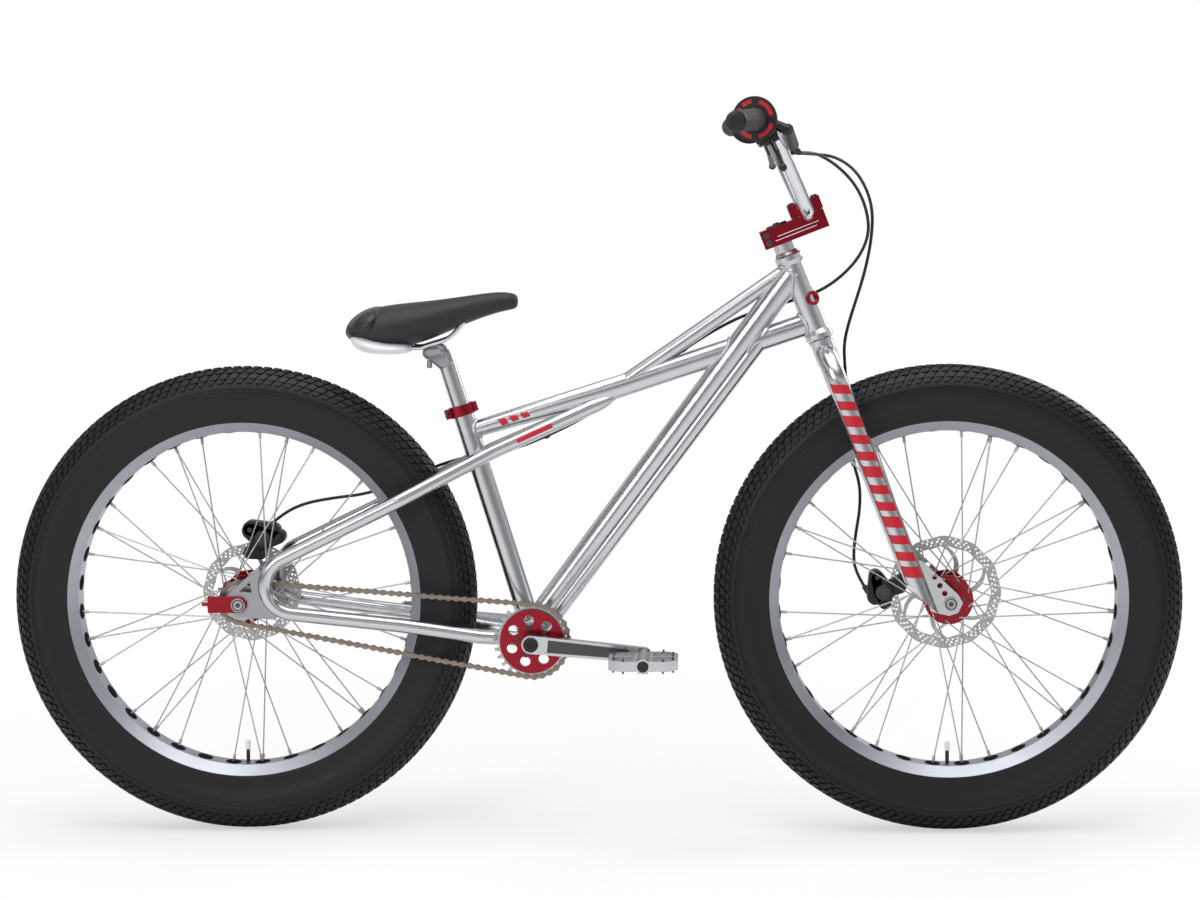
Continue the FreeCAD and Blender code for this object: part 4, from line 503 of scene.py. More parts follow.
def disc_hull(bm, origin, spots, low, high, bevel, steps):
    """A bevelled hull round discs that lie across Y, each (forward, up, radius)."""
    verts = []
    for forward, up, radius in spots:
        for level, shrink in ((low, bevel), (low + bevel, 0), (high - bevel, 0), (high, bevel)):
            for across, rise in circle(radius - shrink, (forward, up), steps):
                verts.append(bm.verts.new(origin + Vector((across, level, rise))))
    bmesh.ops.convex_hull(bm, input=verts)
    loose = [vert for vert in bm.verts if not vert.link_faces]
    bmesh.ops.delete(bm, geom=loose, context="VERTS")


def skin(bm, rings):
    """Closes a row of rings into one solid skin."""
    for pair in zip(rings, rings[1:]):
        loops = {edge for ring in pair for vert in ring for edge in vert.link_edges
                 if edge.other_vert(vert) in ring}
        bmesh.ops.bridge_loops(bm, edges=list(loops))
    bmesh.ops.holes_fill(bm, edges=[edge for edge in bm.edges if edge.is_boundary], sides=0)


def soften(piece):
    """Rounds a coarse piece with two levels of subdivision."""
    rounder = piece.modifiers.new("rounder", "SUBSURF")
    rounder.levels = rounder.render_levels = 2
    return piece


def in_wheel_plane(axle, offset):
    """Puts a flat XY plate into the wheel's XZ plane at an offset along Y."""
    return Matrix.Translation((axle.x, offset, axle.z)) @ Matrix.Rotation(pi / 2, 4, "X")


def cord_curve(name, points, diameter, look):
    """A smooth hose through its control points."""
    curve = bpy.data.curves.new(name, "CURVE")
    curve.dimensions = "3D"
    curve.bevel_depth = diameter / 2
    curve.bevel_resolution = 4
    curve.use_fill_caps = True
    spline = curve.splines.new("NURBS")
    spline.points.add(len(points) - 1)
    for point, spot in zip(spline.points, points):
        point.co = (*spot, 1)
    spline.order_u = 3
    spline.use_endpoint_u = True
    spline.resolution_u = 8
    curve.materials.append(LOOKS[look])
    piece = bpy.data.objects.new(name, curve)
    bpy.context.scene.collection.objects.link(piece)
    return piece


def cord_tube(name, points, diameter, look):
    """The same hose as a mesh, with the line that it follows."""
    guide = cord_curve(name + "_guide", points, 0.0, look)
    line = bpy.data.meshes.new_from_object(guide)
    path = [tuple(vert.co) for vert in line.vertices]
    guide.data.bevel_depth = diameter / 2
    mesh = bpy.data.meshes.new_from_object(guide)
    bpy.data.meshes.remove(line)
    bpy.data.objects.remove(guide)
    mesh.shade_smooth()
    mesh.materials.clear()
    mesh.materials.append(LOOKS[look])
    piece = bpy.data.objects.new(name, mesh)
    bpy.context.scene.collection.objects.link(piece)
    return piece, path


class Builder:
    """What every build step has in common."""
    bl_options = {"REGISTER", "UNDO"}

    def execute(self, context):
        self.build()
        return {"FINISHED"}


WHEELS = {"front": (FRONT_AXLE, "front_wheel"), "rear": (REAR_AXLE, "rear_wheel")}


def disc_plane(end):
    """How far to the left a brake disc's middle plane is."""
    low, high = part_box(end + "_rotor")
    return (low.y + high.y) / 2


# ---------------------------------------------------------------- wheels

class CRUISER_OT_tyres(Builder, bpy.types.Operator):
    """Tyres with ribbed side walls and rows of tread blocks"""
    bl_idname = "cruiser.tyres"
    bl_label = "Tyres"

    def build(self):
        size = sizes("wheels")
        ring = size.tyre_radius - size.tyre_section
        carcass = size.tyre_section - size.tread_height
        rib_height, shoulder = 0.0011, 0.0008
        # Degrees round the section, and those at which the side wall's ribs stand.
        section = [0, 12, 24, 36, 48, 60, 66, 71, 72, 75, 76, 78, 79, 82, 83, 92, 101, 110, 117]
        ribs = (72, 75, 79, 82)
        half = []
        for degrees in section:
            radius = carcass + (rib_height if degrees in ribs else 0.0)
            radius += shoulder if degrees > 60 else 0.0
            half.append((radius, radians(degrees)))
        wall = [(ring + radius * cos(turn), radius * sin(turn)) for radius, turn in half]
        edge = size.rim_edge
        # The bead runs down outside the rim's flange and closes above it.
        wall += [(edge + 0.0085, 0.0369), (edge + 0.0020, 0.0353), (edge - 0.0040, 0.0348),
                 (edge - 0.0082, 0.0346), (edge - 0.0096, 0.0338), (edge - 0.0096, 0.0332),
                 (edge + 0.0005, 0.0332), (edge + 0.0005, 0.0280)]
        profile = [(radius, -across) for radius, across in reversed(wall)] + wall[1:]
        for end, (axle, body) in WHEELS.items():
            bm = bmesh.new()
            place = Matrix.Translation(axle) @ WHEEL_TURN
            lathe(bm, profile, 128, place, closed=True)
            self.tread(bm, ring, carcass, axle, size)
            settle(bm, end + "_tyre_tread", body, "tyre",
                   stands_for=[end + "_tyre"])

    def tread(self, bm, ring, carcass, axle, size):
        """One row of blocks, bent onto the crown and repeated round the tyre."""
        pitch = 2 * pi / size.pitches
        skew, taper, sink = 0.25, 0.86, 0.0006
        # Each row: from and to in degrees round the section, its shift and half length in pitches.
        rows = [(-7, 7, 0.0, 0.36), (10, 20, 0.2, 0.34), (23, 36, 0.55, 0.37), (40, 52, 0.1, 0.40),
                (54, 63, 0.45, 0.30)]
        start = set(bm.verts)
        for low, high, shift, share in rows:
            for side in ((1, -1) if low > 0 else (1,)):
                block = bmesh.ops.create_cube(bm, size=1.0)["verts"]
                for vert in block:
                    turn = radians(low + (high - low) * (vert.co.x + 0.5)) * side
                    narrow = taper if vert.co.z > 0 else 1.0
                    round_angle = pitch * (shift + skew * (vert.co.x + 0.5)
                                           + vert.co.y * 2 * share * narrow)
                    lift = carcass - sink if vert.co.z < 0 else size.tyre_section
                    out = ring + lift * cos(turn)
                    vert.co = (out * cos(round_angle), lift * sin(turn), out * sin(round_angle))
        fresh = [vert for vert in bm.verts if vert not in start]
        bmesh.ops.translate(bm, vec=axle, verts=fresh)
        faces = {face for vert in fresh for face in vert.link_faces}
        edges = {edge for vert in fresh for edge in vert.link_edges}
        bmesh.ops.spin(bm, geom=fresh + list(edges) + list(faces), axis=(0, 1, 0), cent=axle,
                       steps=size.pitches - 1, angle=2 * pi - pitch, use_duplicate=True)


class CRUISER_OT_rims(Builder, bpy.types.Operator):
    """Rim strips seen through the cut-outs, and valves"""
    bl_idname = "cruiser.rims"
    bl_label = "Rims"

    def build(self):
        size = sizes("wheels")
        for end, (axle, body) in WHEELS.items():
            bm = bmesh.new()
            pad = bmesh.ops.create_uvsphere(bm, u_segments=16, v_segments=8, radius=1.0)["verts"]
            half_step = pi / size.spokes
            for vert in pad:
                turn = half_step + vert.co.x * size.strip_length / size.rim_floor
                out = size.rim_floor + 0.0004 - vert.co.z * size.strip_swell
                vert.co = axle + Vector((out * cos(turn), vert.co.y * size.strip_width,
                                         -out * sin(turn)))
            geometry = list(bm.verts) + list(bm.edges) + list(bm.faces)
            bmesh.ops.spin(bm, geom=geometry, axis=(0, 1, 0), cent=axle, steps=size.spokes - 1,
                           angle=2 * pi - 2 * half_step, use_duplicate=True)
            settle(bm, end + "_rim_strip", body, "strip")
            self.valve(end, axle, body, size)

    def valve(self, end, axle, body, size):
        foot = axle - Vector((0, 0, size.rim_floor + 0.001))
        rise = Vector((0, 0, size.valve_length))
        bm = bmesh.new()
        stub(bm, foot, foot + rise * 0.62, 0.0030, 0.0006, 14)
        settle(bm, end + "_valve_stem", body, "black")
        bm = bmesh.new()
        stub(bm, foot + rise * 0.60, foot + rise, 0.0040, 0.0012, 14)
        settle(bm, end + "_valve_cap", body, "white")


class CRUISER_OT_discs(Builder, bpy.types.Operator):
    """Wavy brake discs with rows of holes and swept arms"""
    bl_idname = "cruiser.discs"
    bl_label = "Brake discs"
    band = 0.017

    def build(self):
        size = sizes("wheels")
        for end, radius in (("front", size.front_disc), ("rear", size.rear_disc)):
            axle, body = WHEELS[end]
            middle = disc_plane(end)
            bm = flat_plate(end + "_disc", self.outlines(radius), size.disc_thickness)
            for number in range(6):
                join(bm, flat_plate("arm", [self.arm(radius - self.band + 0.002, number * pi / 3)],
                                    size.disc_thickness * 0.9))
            join(bm, flat_plate("seat", [circle(0.0285, steps=36, wave=0.0012, waves=6),
                                         circle(0.0180, steps=36)], size.disc_thickness))
            bm.transform(in_wheel_plane(axle, middle))
            settle(bm, end + "_brake_disc", body, "steel", angle=25,
                   stands_for=[end + "_rotor"])
            bm = bmesh.new()
            bolt_circle, bolt_turn = 0.022, 0.3
            for number in range(6):
                across, up = polar(bolt_circle, number * pi / 3 + bolt_turn)
                spot = axle + Vector((across, middle + size.disc_thickness / 2, up))
                hex_head(bm, spot, (0, 1, 0), 0.0038, 0.0025)
            settle(bm, end + "_disc_bolts", body, "dark")

    def outlines(self, radius):
        """The band's two wavy edges and its three rows of holes, with gaps in them."""
        edges = [circle(radius - 0.001, steps=144, wave=0.001, waves=12),
                 circle(radius - self.band, steps=144, wave=0.0012, waves=12)]
        holes = 60 if radius > 0.08 else 52
        rows = ((0.0046, 0.0017), (0.0088, 0.0021), (0.0130, 0.0017))
        for row, (inward, bore) in enumerate(rows):
            for number in range(holes):
                if (number + row) % 5:
                    spot = polar(radius - inward, 2 * pi * (number + row / 3) / holes)
                    edges.append(circle(bore, spot, steps=8))
        return edges

    def arm(self, reach, turn):
        """A swept arm between the seat and the band."""
        low, steps, wide, sweep = 0.026, 7, 0.0042, 0.55
        line = []
        for step in range(steps):
            share = step / (steps - 1)
            out = low + (reach - low) * share
            line.append((out, turn + sweep * share * share, wide * (1 + 0.5 * (share - 0.5) ** 2)))
        sides = [[polar(out, angle + way * half / out) for out, angle, half in line]
                 for way in (1, -1)]
        return sides[0] + sides[1][::-1]


class CRUISER_OT_hubs(Builder, bpy.types.Operator):
    """Dark discs painted on the hub flanges as the shade of their holes"""
    bl_idname = "cruiser.hubs"
    bl_label = "Hub details"

    def build(self):
        size = sizes("wheels")
        for end, (axle, body) in WHEELS.items():
            flange = 0.033 if end == "front" else 0.035
            per_side = size.spokes // 2
            bm = bmesh.new()
            for side in (-1, 1):
                shift = pi / per_side if side > 0 else 0
                spokes = [2 * pi * (number + 0.5) / per_side + shift for number in range(per_side)]
                bores = [2 * pi * number / 6 for number in range(6)]
                # Each hole is a thin dark disc on the flange's face: painted shade standing for
                # the spoke holes and the larger bores.
                for turns, ring, deep, radius, steps in ((spokes, 0.032, 0.0004, 0.0019, 10),
                                                         (bores, 0.0235, 0.0003, 0.0034, 14)):
                    for turn in turns:
                        across, up = polar(ring, turn)
                        spot = axle + Vector((across, side * flange, up))
                        stub(bm, spot, spot + Vector((0, side * deep, 0)), radius, 0.0, steps)
            settle(bm, end + "_flange_hole_shade", body, "dark")


# Round lobes of each caliper about its axle: forward, up and radius in millimetres.
CALIPERS = {
    "front": {
        "bridge": [(-108, 25, 11), (-109, -6, 13)],
        "cheek": [(-106, 22, 12), (-97, 2, 17), (-94, -16, 10)],
        "arm": [(-94, 2, 11), (-66, 20, 9), (-68, 6, 7)],
        "piston": (-97, 1), "bolts": [(-106, 25), (-93, -18)],
    },
    "rear": {
        "bridge": [(0, 101, 13), (34, 97, 13)],
        "cheek": [(0, 98, 14), (20, 86, 18), (44, 88, 11)],
        "arm": [(12, 80, 12), (-4, 62, 9), (16, 60, 8)],
        "piston": (19, 87), "bolts": [(-1, 100), (43, 88)],
    },
}


class CRUISER_OT_fittings(Builder, bpy.types.Operator):
    """Dark discs painted on the axle heads as the shade of their sockets, each with a raised ring,
    the collar's bolts, and the calipers with their caps
    """
    bl_idname = "cruiser.fittings"
    bl_label = "Fittings"

    def hose_end(self, end):
        """The last two points of the hose that runs into a caliper."""
        if end == "front":
            return [STEER @ (Vector(spot) * MM) for spot in FRONT_HOSE[-2:]]
        return [Vector(spot) * MM for spot in REAR_HOSE[-2:]]

    def build(self):
        for end, body in (("front", "steering"), ("rear", "frame")):
            axle = WHEELS[end][0]
            low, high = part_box(end + "_axle")
            middle = (low + high) / 2
            bm = bmesh.new()
            for side, face in ((-1, low.y), (1, high.y)):
                # A thin dark disc on the axle's end is painted shade standing for the socket's
                # hollow; the ridge round it is a raised ring.
                spot = Vector((middle.x, face - side * 0.0002, middle.z))
                stub(bm, spot, spot + Vector((0, side * 0.0006, 0)), 0.0042, 0.0002, 6)
                lathe(bm, [(0.0062, -0.0002), (0.0080, 0.0009), (0.0098, -0.0002)], 36,
                      toward(spot, (0, side, 0)), closed=True)
            settle(bm, end + "_axle_socket_shade_and_ring", body, "dark")
            self.caliper(end, axle, body)
        low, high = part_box("seat_collar")
        level = (low.z + high.z) / 2 - 0.004
        bm = bmesh.new()
        for up in (-0.0035, 0.0035):
            spot = Vector((low.x + 0.006, low.y + 0.004, level + up))
            hex_head(bm, spot, (0, -1, 0), 0.0028, 0.0035)
        settle(bm, "collar_bolts", "frame", "dark")

    def caliper(self, end, axle, body):
        """Two cheeks beside the disc, a bridge over its rim, an arm, the hose's gland and caps."""
        plane = disc_plane(end)
        shape = CALIPERS[end]
        bm = bmesh.new()
        half, gap, bevel = 0.0146, 0.0016, 0.0022
        for part, low, high in (("bridge", -half, half), ("cheek", gap, half),
                                ("cheek", -half, -gap), ("arm", gap, half - 0.002),
                                ("arm", -half + 0.004, -gap)):
            spots = [(forward * MM, up * MM, radius * MM) for forward, up, radius in shape[part]]
            disc_hull(bm, Vector((axle.x, plane, axle.z)), spots, low, high, bevel, 20)
        before, tip = self.hose_end(end)
        heading = (tip - before).normalized()
        stub(bm, tip - heading * 0.004, tip + heading * 0.014, 0.0044, 0.0006, 16)
        settle(bm, end + "_caliper_body", body, "black",
               stands_for=[end + "_caliper"])
        bm = bmesh.new()
        for side in (-1, 1):
            face = plane + side * (half - 0.0002)
            centre, *bolts = [Vector((axle.x + across * MM, face, axle.z + up * MM))
                              for across, up in [shape["piston"], *shape["bolts"]]]
            lathe(bm, [(0, 0.0020), (0.0062, 0.0020), (0.0070, 0.0012), (0.0100, 0.0012),
                       (0.0108, 0.0024), (0.0118, 0.0024), (0.0124, 0.0016), (0.0124, 0), (0, 0)],
                  36, toward(centre, (0, side, 0)))
            for bolt in bolts:
                hex_head(bm, bolt, (0, side, 0), 0.0038, 0.0028)
        settle(bm, end + "_caliper_caps", body, "dark")


# ---------------------------------------------------------------- drive

def pitch_circle(teeth, pitch):
    return pitch / (2 * sin(pi / teeth))


class CRUISER_OT_chain(Builder, bpy.types.Operator):
    """Chain of inner and outer links on rollers"""
    bl_idname = "cruiser.chain"
    bl_label = "Chain"

    def belt(self, size):
        """Pin places round the two sprockets: four pieces of line and arc."""
        front_radius = pitch_circle(size.ring_teeth, size.chain_pitch)
        rear_radius = pitch_circle(size.cog_teeth, size.chain_pitch)
        gap = CRANK - REAR_AXLE
        slope = atan2(gap.z, gap.x)
        spread = acos((front_radius - rear_radius) / gap.length)
        straight = sqrt(gap.length ** 2 - (front_radius - rear_radius) ** 2)
        front_arc = 2 * spread * front_radius
        rear_arc = 2 * (pi - spread) * rear_radius
        total = 2 * straight + front_arc + rear_arc
        links = 2 * round(total / size.chain_pitch / 2)
        step = total / links

        def at(along):
            along %= total
            if along < straight:
                start = REAR_AXLE + self.on_ring(slope + spread, rear_radius)
                finish = CRANK + self.on_ring(slope + spread, front_radius)
                return start.lerp(finish, along / straight)
            along -= straight
            if along < front_arc:
                return CRANK + self.on_ring(slope + spread - along / front_radius, front_radius)
            along -= front_arc
            if along < straight:
                start = CRANK + self.on_ring(slope - spread, front_radius)
                finish = REAR_AXLE + self.on_ring(slope - spread, rear_radius)
                return start.lerp(finish, along / straight)
            along -= straight
            return REAR_AXLE + self.on_ring(slope - spread - along / rear_radius, rear_radius)

        return [at(number * step) for number in range(links)]

    @staticmethod
    def on_ring(angle, radius):
        return Vector((cos(angle), 0, sin(angle))) * radius

    def build(self):
        size = sizes("drive")
        pins = self.belt(size)
        rise, waist = 0.0044, 0.0019
        # How far a link's plates reach from the chain's middle, inner face and outer face.
        inner_link, outer_link = (0.0020, 0.0030), (0.0032, 0.0043)
        # Pin and roller: half length, radius, round-over and sides.
        rounds = ((0.0050, 0.0018, 0.0003, 8), (0.0019, 0.0038, 0.0, 10))
        half = size.chain_pitch / 2
        turns = [radians(50 + 52 * number) for number in range(6)]
        side = [(-half + rise * cos(turn), rise * sin(turn)) for turn in turns]
        plate = side + [(0.0, -waist)] + [(-x, y) for x, y in side][::-1] + [(0.0, waist)]
        bm = bmesh.new()
        line = -size.chain_line
        for number, pin in enumerate(pins):
            after = pins[(number + 1) % len(pins)]
            heading = after - pin
            middle = (pin + after) / 2
            slope = Matrix.Rotation(-atan2(heading.z, heading.x), 4, "Y")
            turn = slope @ Matrix.Rotation(pi / 2, 4, "X")
            inner, outer = inner_link if number % 2 else outer_link
            for shift in (-outer, inner):
                verts = [bm.verts.new((x, y, 0)) for x, y in plate]
                face = bm.faces.new(verts)
                lifted = bmesh.ops.extrude_face_region(bm, geom=[face])["geom"]
                top = [item for item in lifted if isinstance(item, bmesh.types.BMVert)]
                bmesh.ops.translate(bm, vec=(0, 0, outer - inner), verts=top)
                spot = Matrix.Translation((middle.x, line, middle.z))
                place = spot @ turn @ Matrix.Translation((0, 0, shift))
                bmesh.ops.transform(bm, matrix=place, verts=verts + top)
            for reach, radius, edge, steps in rounds:
                stub(bm, (pin.x, line - reach, pin.z), (pin.x, line + reach, pin.z), radius,
                     edge, steps)
        settle(bm, "chain_links", "frame", "chain", stands_for=["chain"])


class CRUISER_OT_cranks(Builder, bpy.types.Operator):
    """Crank bolts, arm insets and the bolts of the guard disc"""
    bl_idname = "cruiser.cranks"
    bl_label = "Crank details"

    def build(self):
        size = sizes("drive")
        base = Matrix.Translation(CRANK) @ Matrix.Rotation(size.crank_drop, 4, "Y")
        bolts, insets, caps = bmesh.new(), bmesh.new(), bmesh.new()
        for side in (-1, 1):
            face = side * size.arm_face
            centre = base @ Vector((0, face - side * 0.0004, 0))
            lathe(caps, [(0, 0.001), (0.0045, 0.001), (0.0055, 0.0032), (0.0105, 0.0032),
                         (0.0117, 0.002), (0.0117, 0), (0, 0)], 28, toward(centre, (0, side, 0)))
            strip = [(0.026, -0.0095), (0.150, -0.0072), (0.150, 0.0072), (0.026, 0.0095)]
            inset = flat_plate("inset", [[(-side * x, z) for x, z in strip]], 0.0006)
            inset.transform(Matrix.Rotation(pi / 2, 4, "X"))
            inset.transform(base @ Matrix.Translation((0, face - side * 0.0016, 0)))
            join(insets, inset)
        for number in range(5):
            across, up = polar(0.0225, 2 * pi * (number + 0.5) / 5)
            hex_head(bolts, base @ Vector((across, -0.0655, up)), (0, -1, 0), 0.0040, 0.003)
        settle(bolts, "guard_bolts", "crankset", "dark")
        settle(insets, "crank_insets", "crankset", "dark")
        settle(caps, "crank_bolt_caps", "crankset", "black")


class CRUISER_OT_pedals(Builder, bpy.types.Operator):
    """Grip pins, end caps and bolts on the pedals"""
    bl_idname = "cruiser.pedals"
    bl_label = "Pedal details"

    def build(self):
        size = sizes("drive")
        for name, side in (("right", -1), ("left", 1)):
            low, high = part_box(name + "_pedal")
            middle = (low + high) / 2
            bm = bmesh.new()
            margin, corner, face, high_pin = 0.0045, 0.0108, 0.0070, 0.0042
            pin_places = (-0.045, -0.030, -0.006, 0.006, 0.030, 0.045)
            for across in pin_places:
                for along, inward in ((low.y + margin, corner), (high.y - margin, -corner)):
                    for way, steps_in in ((-1, 1), (1, 2)):
                        inset = inward * steps_in if abs(across) > 0.04 else 0.0
                        spot = Vector((middle.x + across, along + inset, middle.z + way * face))
                        tip = spot + Vector((0, 0, way * high_pin))
                        stub(bm, spot, tip, size.pin_radius, 0.0004, 8)
            settle(bm, name + "_pedal_pins", name + "_pedal_body", "dark")
            bm = bmesh.new()
            end = low.y if side < 0 else high.y
            centre = Vector((middle.x, end - side * 0.001, middle.z))
            stub(bm, centre, centre + Vector((0, side * 0.0028, 0)), 0.0086, 0.0008, 24)
            settle(bm, name + "_pedal_cap", name + "_pedal_body", "black")


# ---------------------------------------------------------------- bar

def bar_spot(side, from_middle):
    """A point on the grip end of the bar and its outward heading, about the steering axis."""
    size = sizes("bar")
    top = size.clamp_height + size.rise
    bend = Vector((size.reach - size.lean_back, side * size.bend_width, top))
    tip = Vector((size.reach - size.sweep, side * size.half_width, top + size.upsweep))
    heading = (tip - bend).normalized()
    return bend + heading * ((from_middle - size.bend_width) / abs(heading.y)), heading


class CRUISER_OT_grips(Builder, bpy.types.Operator):
    """Ribbed grips with a flange, coloured arcs and end plugs"""
    bl_idname = "cruiser.grips"
    bl_label = "Grips"

    def build(self):
        size = sizes("bar")
        for name, side in (("right", -1), ("left", 1)):
            tip, heading = bar_spot(side, size.half_width)
            heading = STEER.to_3x3() @ heading
            root = STEER @ tip - heading * size.grip_length
            place = toward(root, heading)
            sleeve, flange, bore, groove = size.grip_radius, size.flange_radius, 0.0113, 0.0016
            profile = [(bore, 0.0), (flange - 0.001, 0.0), (flange, 0.001), (flange, 0.004),
                       (flange - 0.001, 0.005), (sleeve, 0.005)]
            ribs = 22
            pitch = (size.grip_length - 0.018) / ribs
            for number in range(ribs):
                start = 0.008 + number * pitch
                profile += [(sleeve - groove, start), (sleeve, start + pitch * 0.25),
                            (sleeve, start + pitch * 0.7), (sleeve - groove, start + pitch * 0.95)]
            profile += [(sleeve, size.grip_length - 0.008), (sleeve, size.grip_length),
                        (bore, size.grip_length)]
            bm = bmesh.new()
            lathe(bm, profile, 40, place, closed=True)
            settle(bm, name + "_grip_ribs", "steering", "grip",
                   stands_for=[name + "_grip"])

            bm = bmesh.new()
            rim = [(0.0175, 0.0052), (flange - 0.0004, 0.0052), (flange + 0.0002, 0.0046),
                   (flange + 0.0002, 0.0004), (flange - 0.0004, -0.0003), (0.0150, -0.0003)]
            lathe(bm, rim, 56, place, closed=True)
            settle(bm, name + "_grip_flange", "steering", "black")

            bm = bmesh.new()
            for start, span in ((12, 62), (98, 34), (142, 62), (216, 44), (284, 62)):
                turns = [radians(start + span * step / 10) for step in range(11)]
                band = [polar(0.0292, turn) for turn in turns]
                band += [polar(0.0232, turn) for turn in reversed(turns)]
                arc = flat_plate("arc", [band], 0.0003)
                arc.transform(place @ Matrix.Translation((0, 0, 0.0054)))
                join(bm, arc)
            settle(bm, name + "_grip_arcs", "steering", "print")

            bm = bmesh.new()
            end = size.grip_length - 0.001
            plug = [(0, end + 0.0042), (0.0030, end + 0.0042), (0.0036, end + 0.0034),
                    (0.0070, end + 0.0034), (0.0076, end + 0.0046), (0.0110, end + 0.0046),
                    (0.0150, end + 0.0040), (0.0158, end + 0.0024), (0.0158, end - 0.004),
                    (0, end - 0.004)]
            lathe(bm, plug, 40, place)
            settle(bm, name + "_bar_plug", "steering", "black")


# The hoses' control points in millimetres: the front one from the head tube's foot, the rear
# ones from the bicycle's origin, along the same routes as their solids.
FRONT_HOSE = [
    (112.5, 125, 262), (133.9, 108, 245), (148.6, 95, 221), (154, 84, 194), (153.4, 76, 167),
    (146.6, 70, 141), (134.7, 66, 116), (121, 63, 92), (99.8, 61, 61), (76, 61, 31),
    (52, 66, 1), (33, 75, -28), (22, 86, -62), (12, 95, -98), (-1, 98, -136),
    (-14, 96, -174), (-21, 95, -212), (-24, 95, -250), (-38, 95, -285), (-56, 93, -315),
    (-72, 91, -344), (-81, 84, -373), (-75, 70, -402),
]
REAR_HOSE_LOOP = [
    (337, -122, 1057), (358, -95, 1048), (380, -69, 1033), (401, -45, 1012), (416, -22, 988),
    (425, -2, 963), (429, 14, 938), (424, 26, 913), (411, 32, 889), (391, 34, 867),
    (369, 33, 850), (345, 30, 837),
]
REAR_HOSE = [
    (291, 27, 820), (240, 24, 806), (190, 20, 782), (140, 19, 750), (87, 19, 712),
    (33, 22, 674), (-22, 29, 640), (-76, 37, 613), (-128, 44, 592), (-176, 51, 584),
    (-224, 57, 574), (-272, 66, 556), (-322, 76, 532), (-372, 83, 516), (-424, 86, 510),
    (-470, 86, 501), (-502, 80, 485), (-523, 73, 467),
]


def hose_port(side):
    """Where a hose leaves its master cylinder, inward of the clamp, ahead of it and below."""
    centre, heading = bar_spot(side, sizes("bar").lever_place)
    inward, port = 0.064, Vector((0.023, 0, -0.066))
    return STEER @ (centre - heading * inward + port)


class CRUISER_OT_hoses(Builder, bpy.types.Operator):
    """Brake hoses and their clips"""
    bl_idname = "cruiser.hoses"
    bl_label = "Hoses"

    def build(self):
        size = sizes("bar")
        thick = size.hose_diameter
        front = [hose_port(1)] + [STEER @ (Vector(spot) * MM) for spot in FRONT_HOSE]
        loop = [Vector(spot) * MM for spot in REAR_HOSE_LOOP]
        rest = [Vector(spot) * MM for spot in REAR_HOSE]
        joint = (loop[-1] + rest[0]) / 2
        loop = [hose_port(-1)] + loop + [joint]
        rest = [joint] + rest
        for name, points, body in (("front_brake_hose", front, "steering"),
                                   ("rear_brake_hose", rest, "frame")):
            piece = cord_curve(name + "_line", points, thick, "hose")
            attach(piece, body)
            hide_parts(name)
        # The loop crosses the steering joint, where its low end stays and its high end turns; its
        # mesh is baked in place and rides on no body.
        piece, path = cord_tube("rear_hose_loop_line", loop, thick, "hose")
        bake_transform(piece)
        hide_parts("rear_hose_loop")
        self.clips("frame_hose_clips", rest, (4, 8, 12), "frame", 0.004, thick / 2 + 0.0013)
        self.clips("fork_hose_clips", front, (14, 17), "steering", 0.005, thick / 2 + 0.0014)

    def clips(self, name, points, numbers, body, half, radius):
        bm = bmesh.new()
        for number in numbers:
            reach = (points[number + 1] - points[number - 1]).normalized() * half
            stub(bm, points[number] - reach, points[number] + reach, radius, 0.0008, 16)
        settle(bm, name, body, "black")


# ---------------------------------------------------------------- saddle

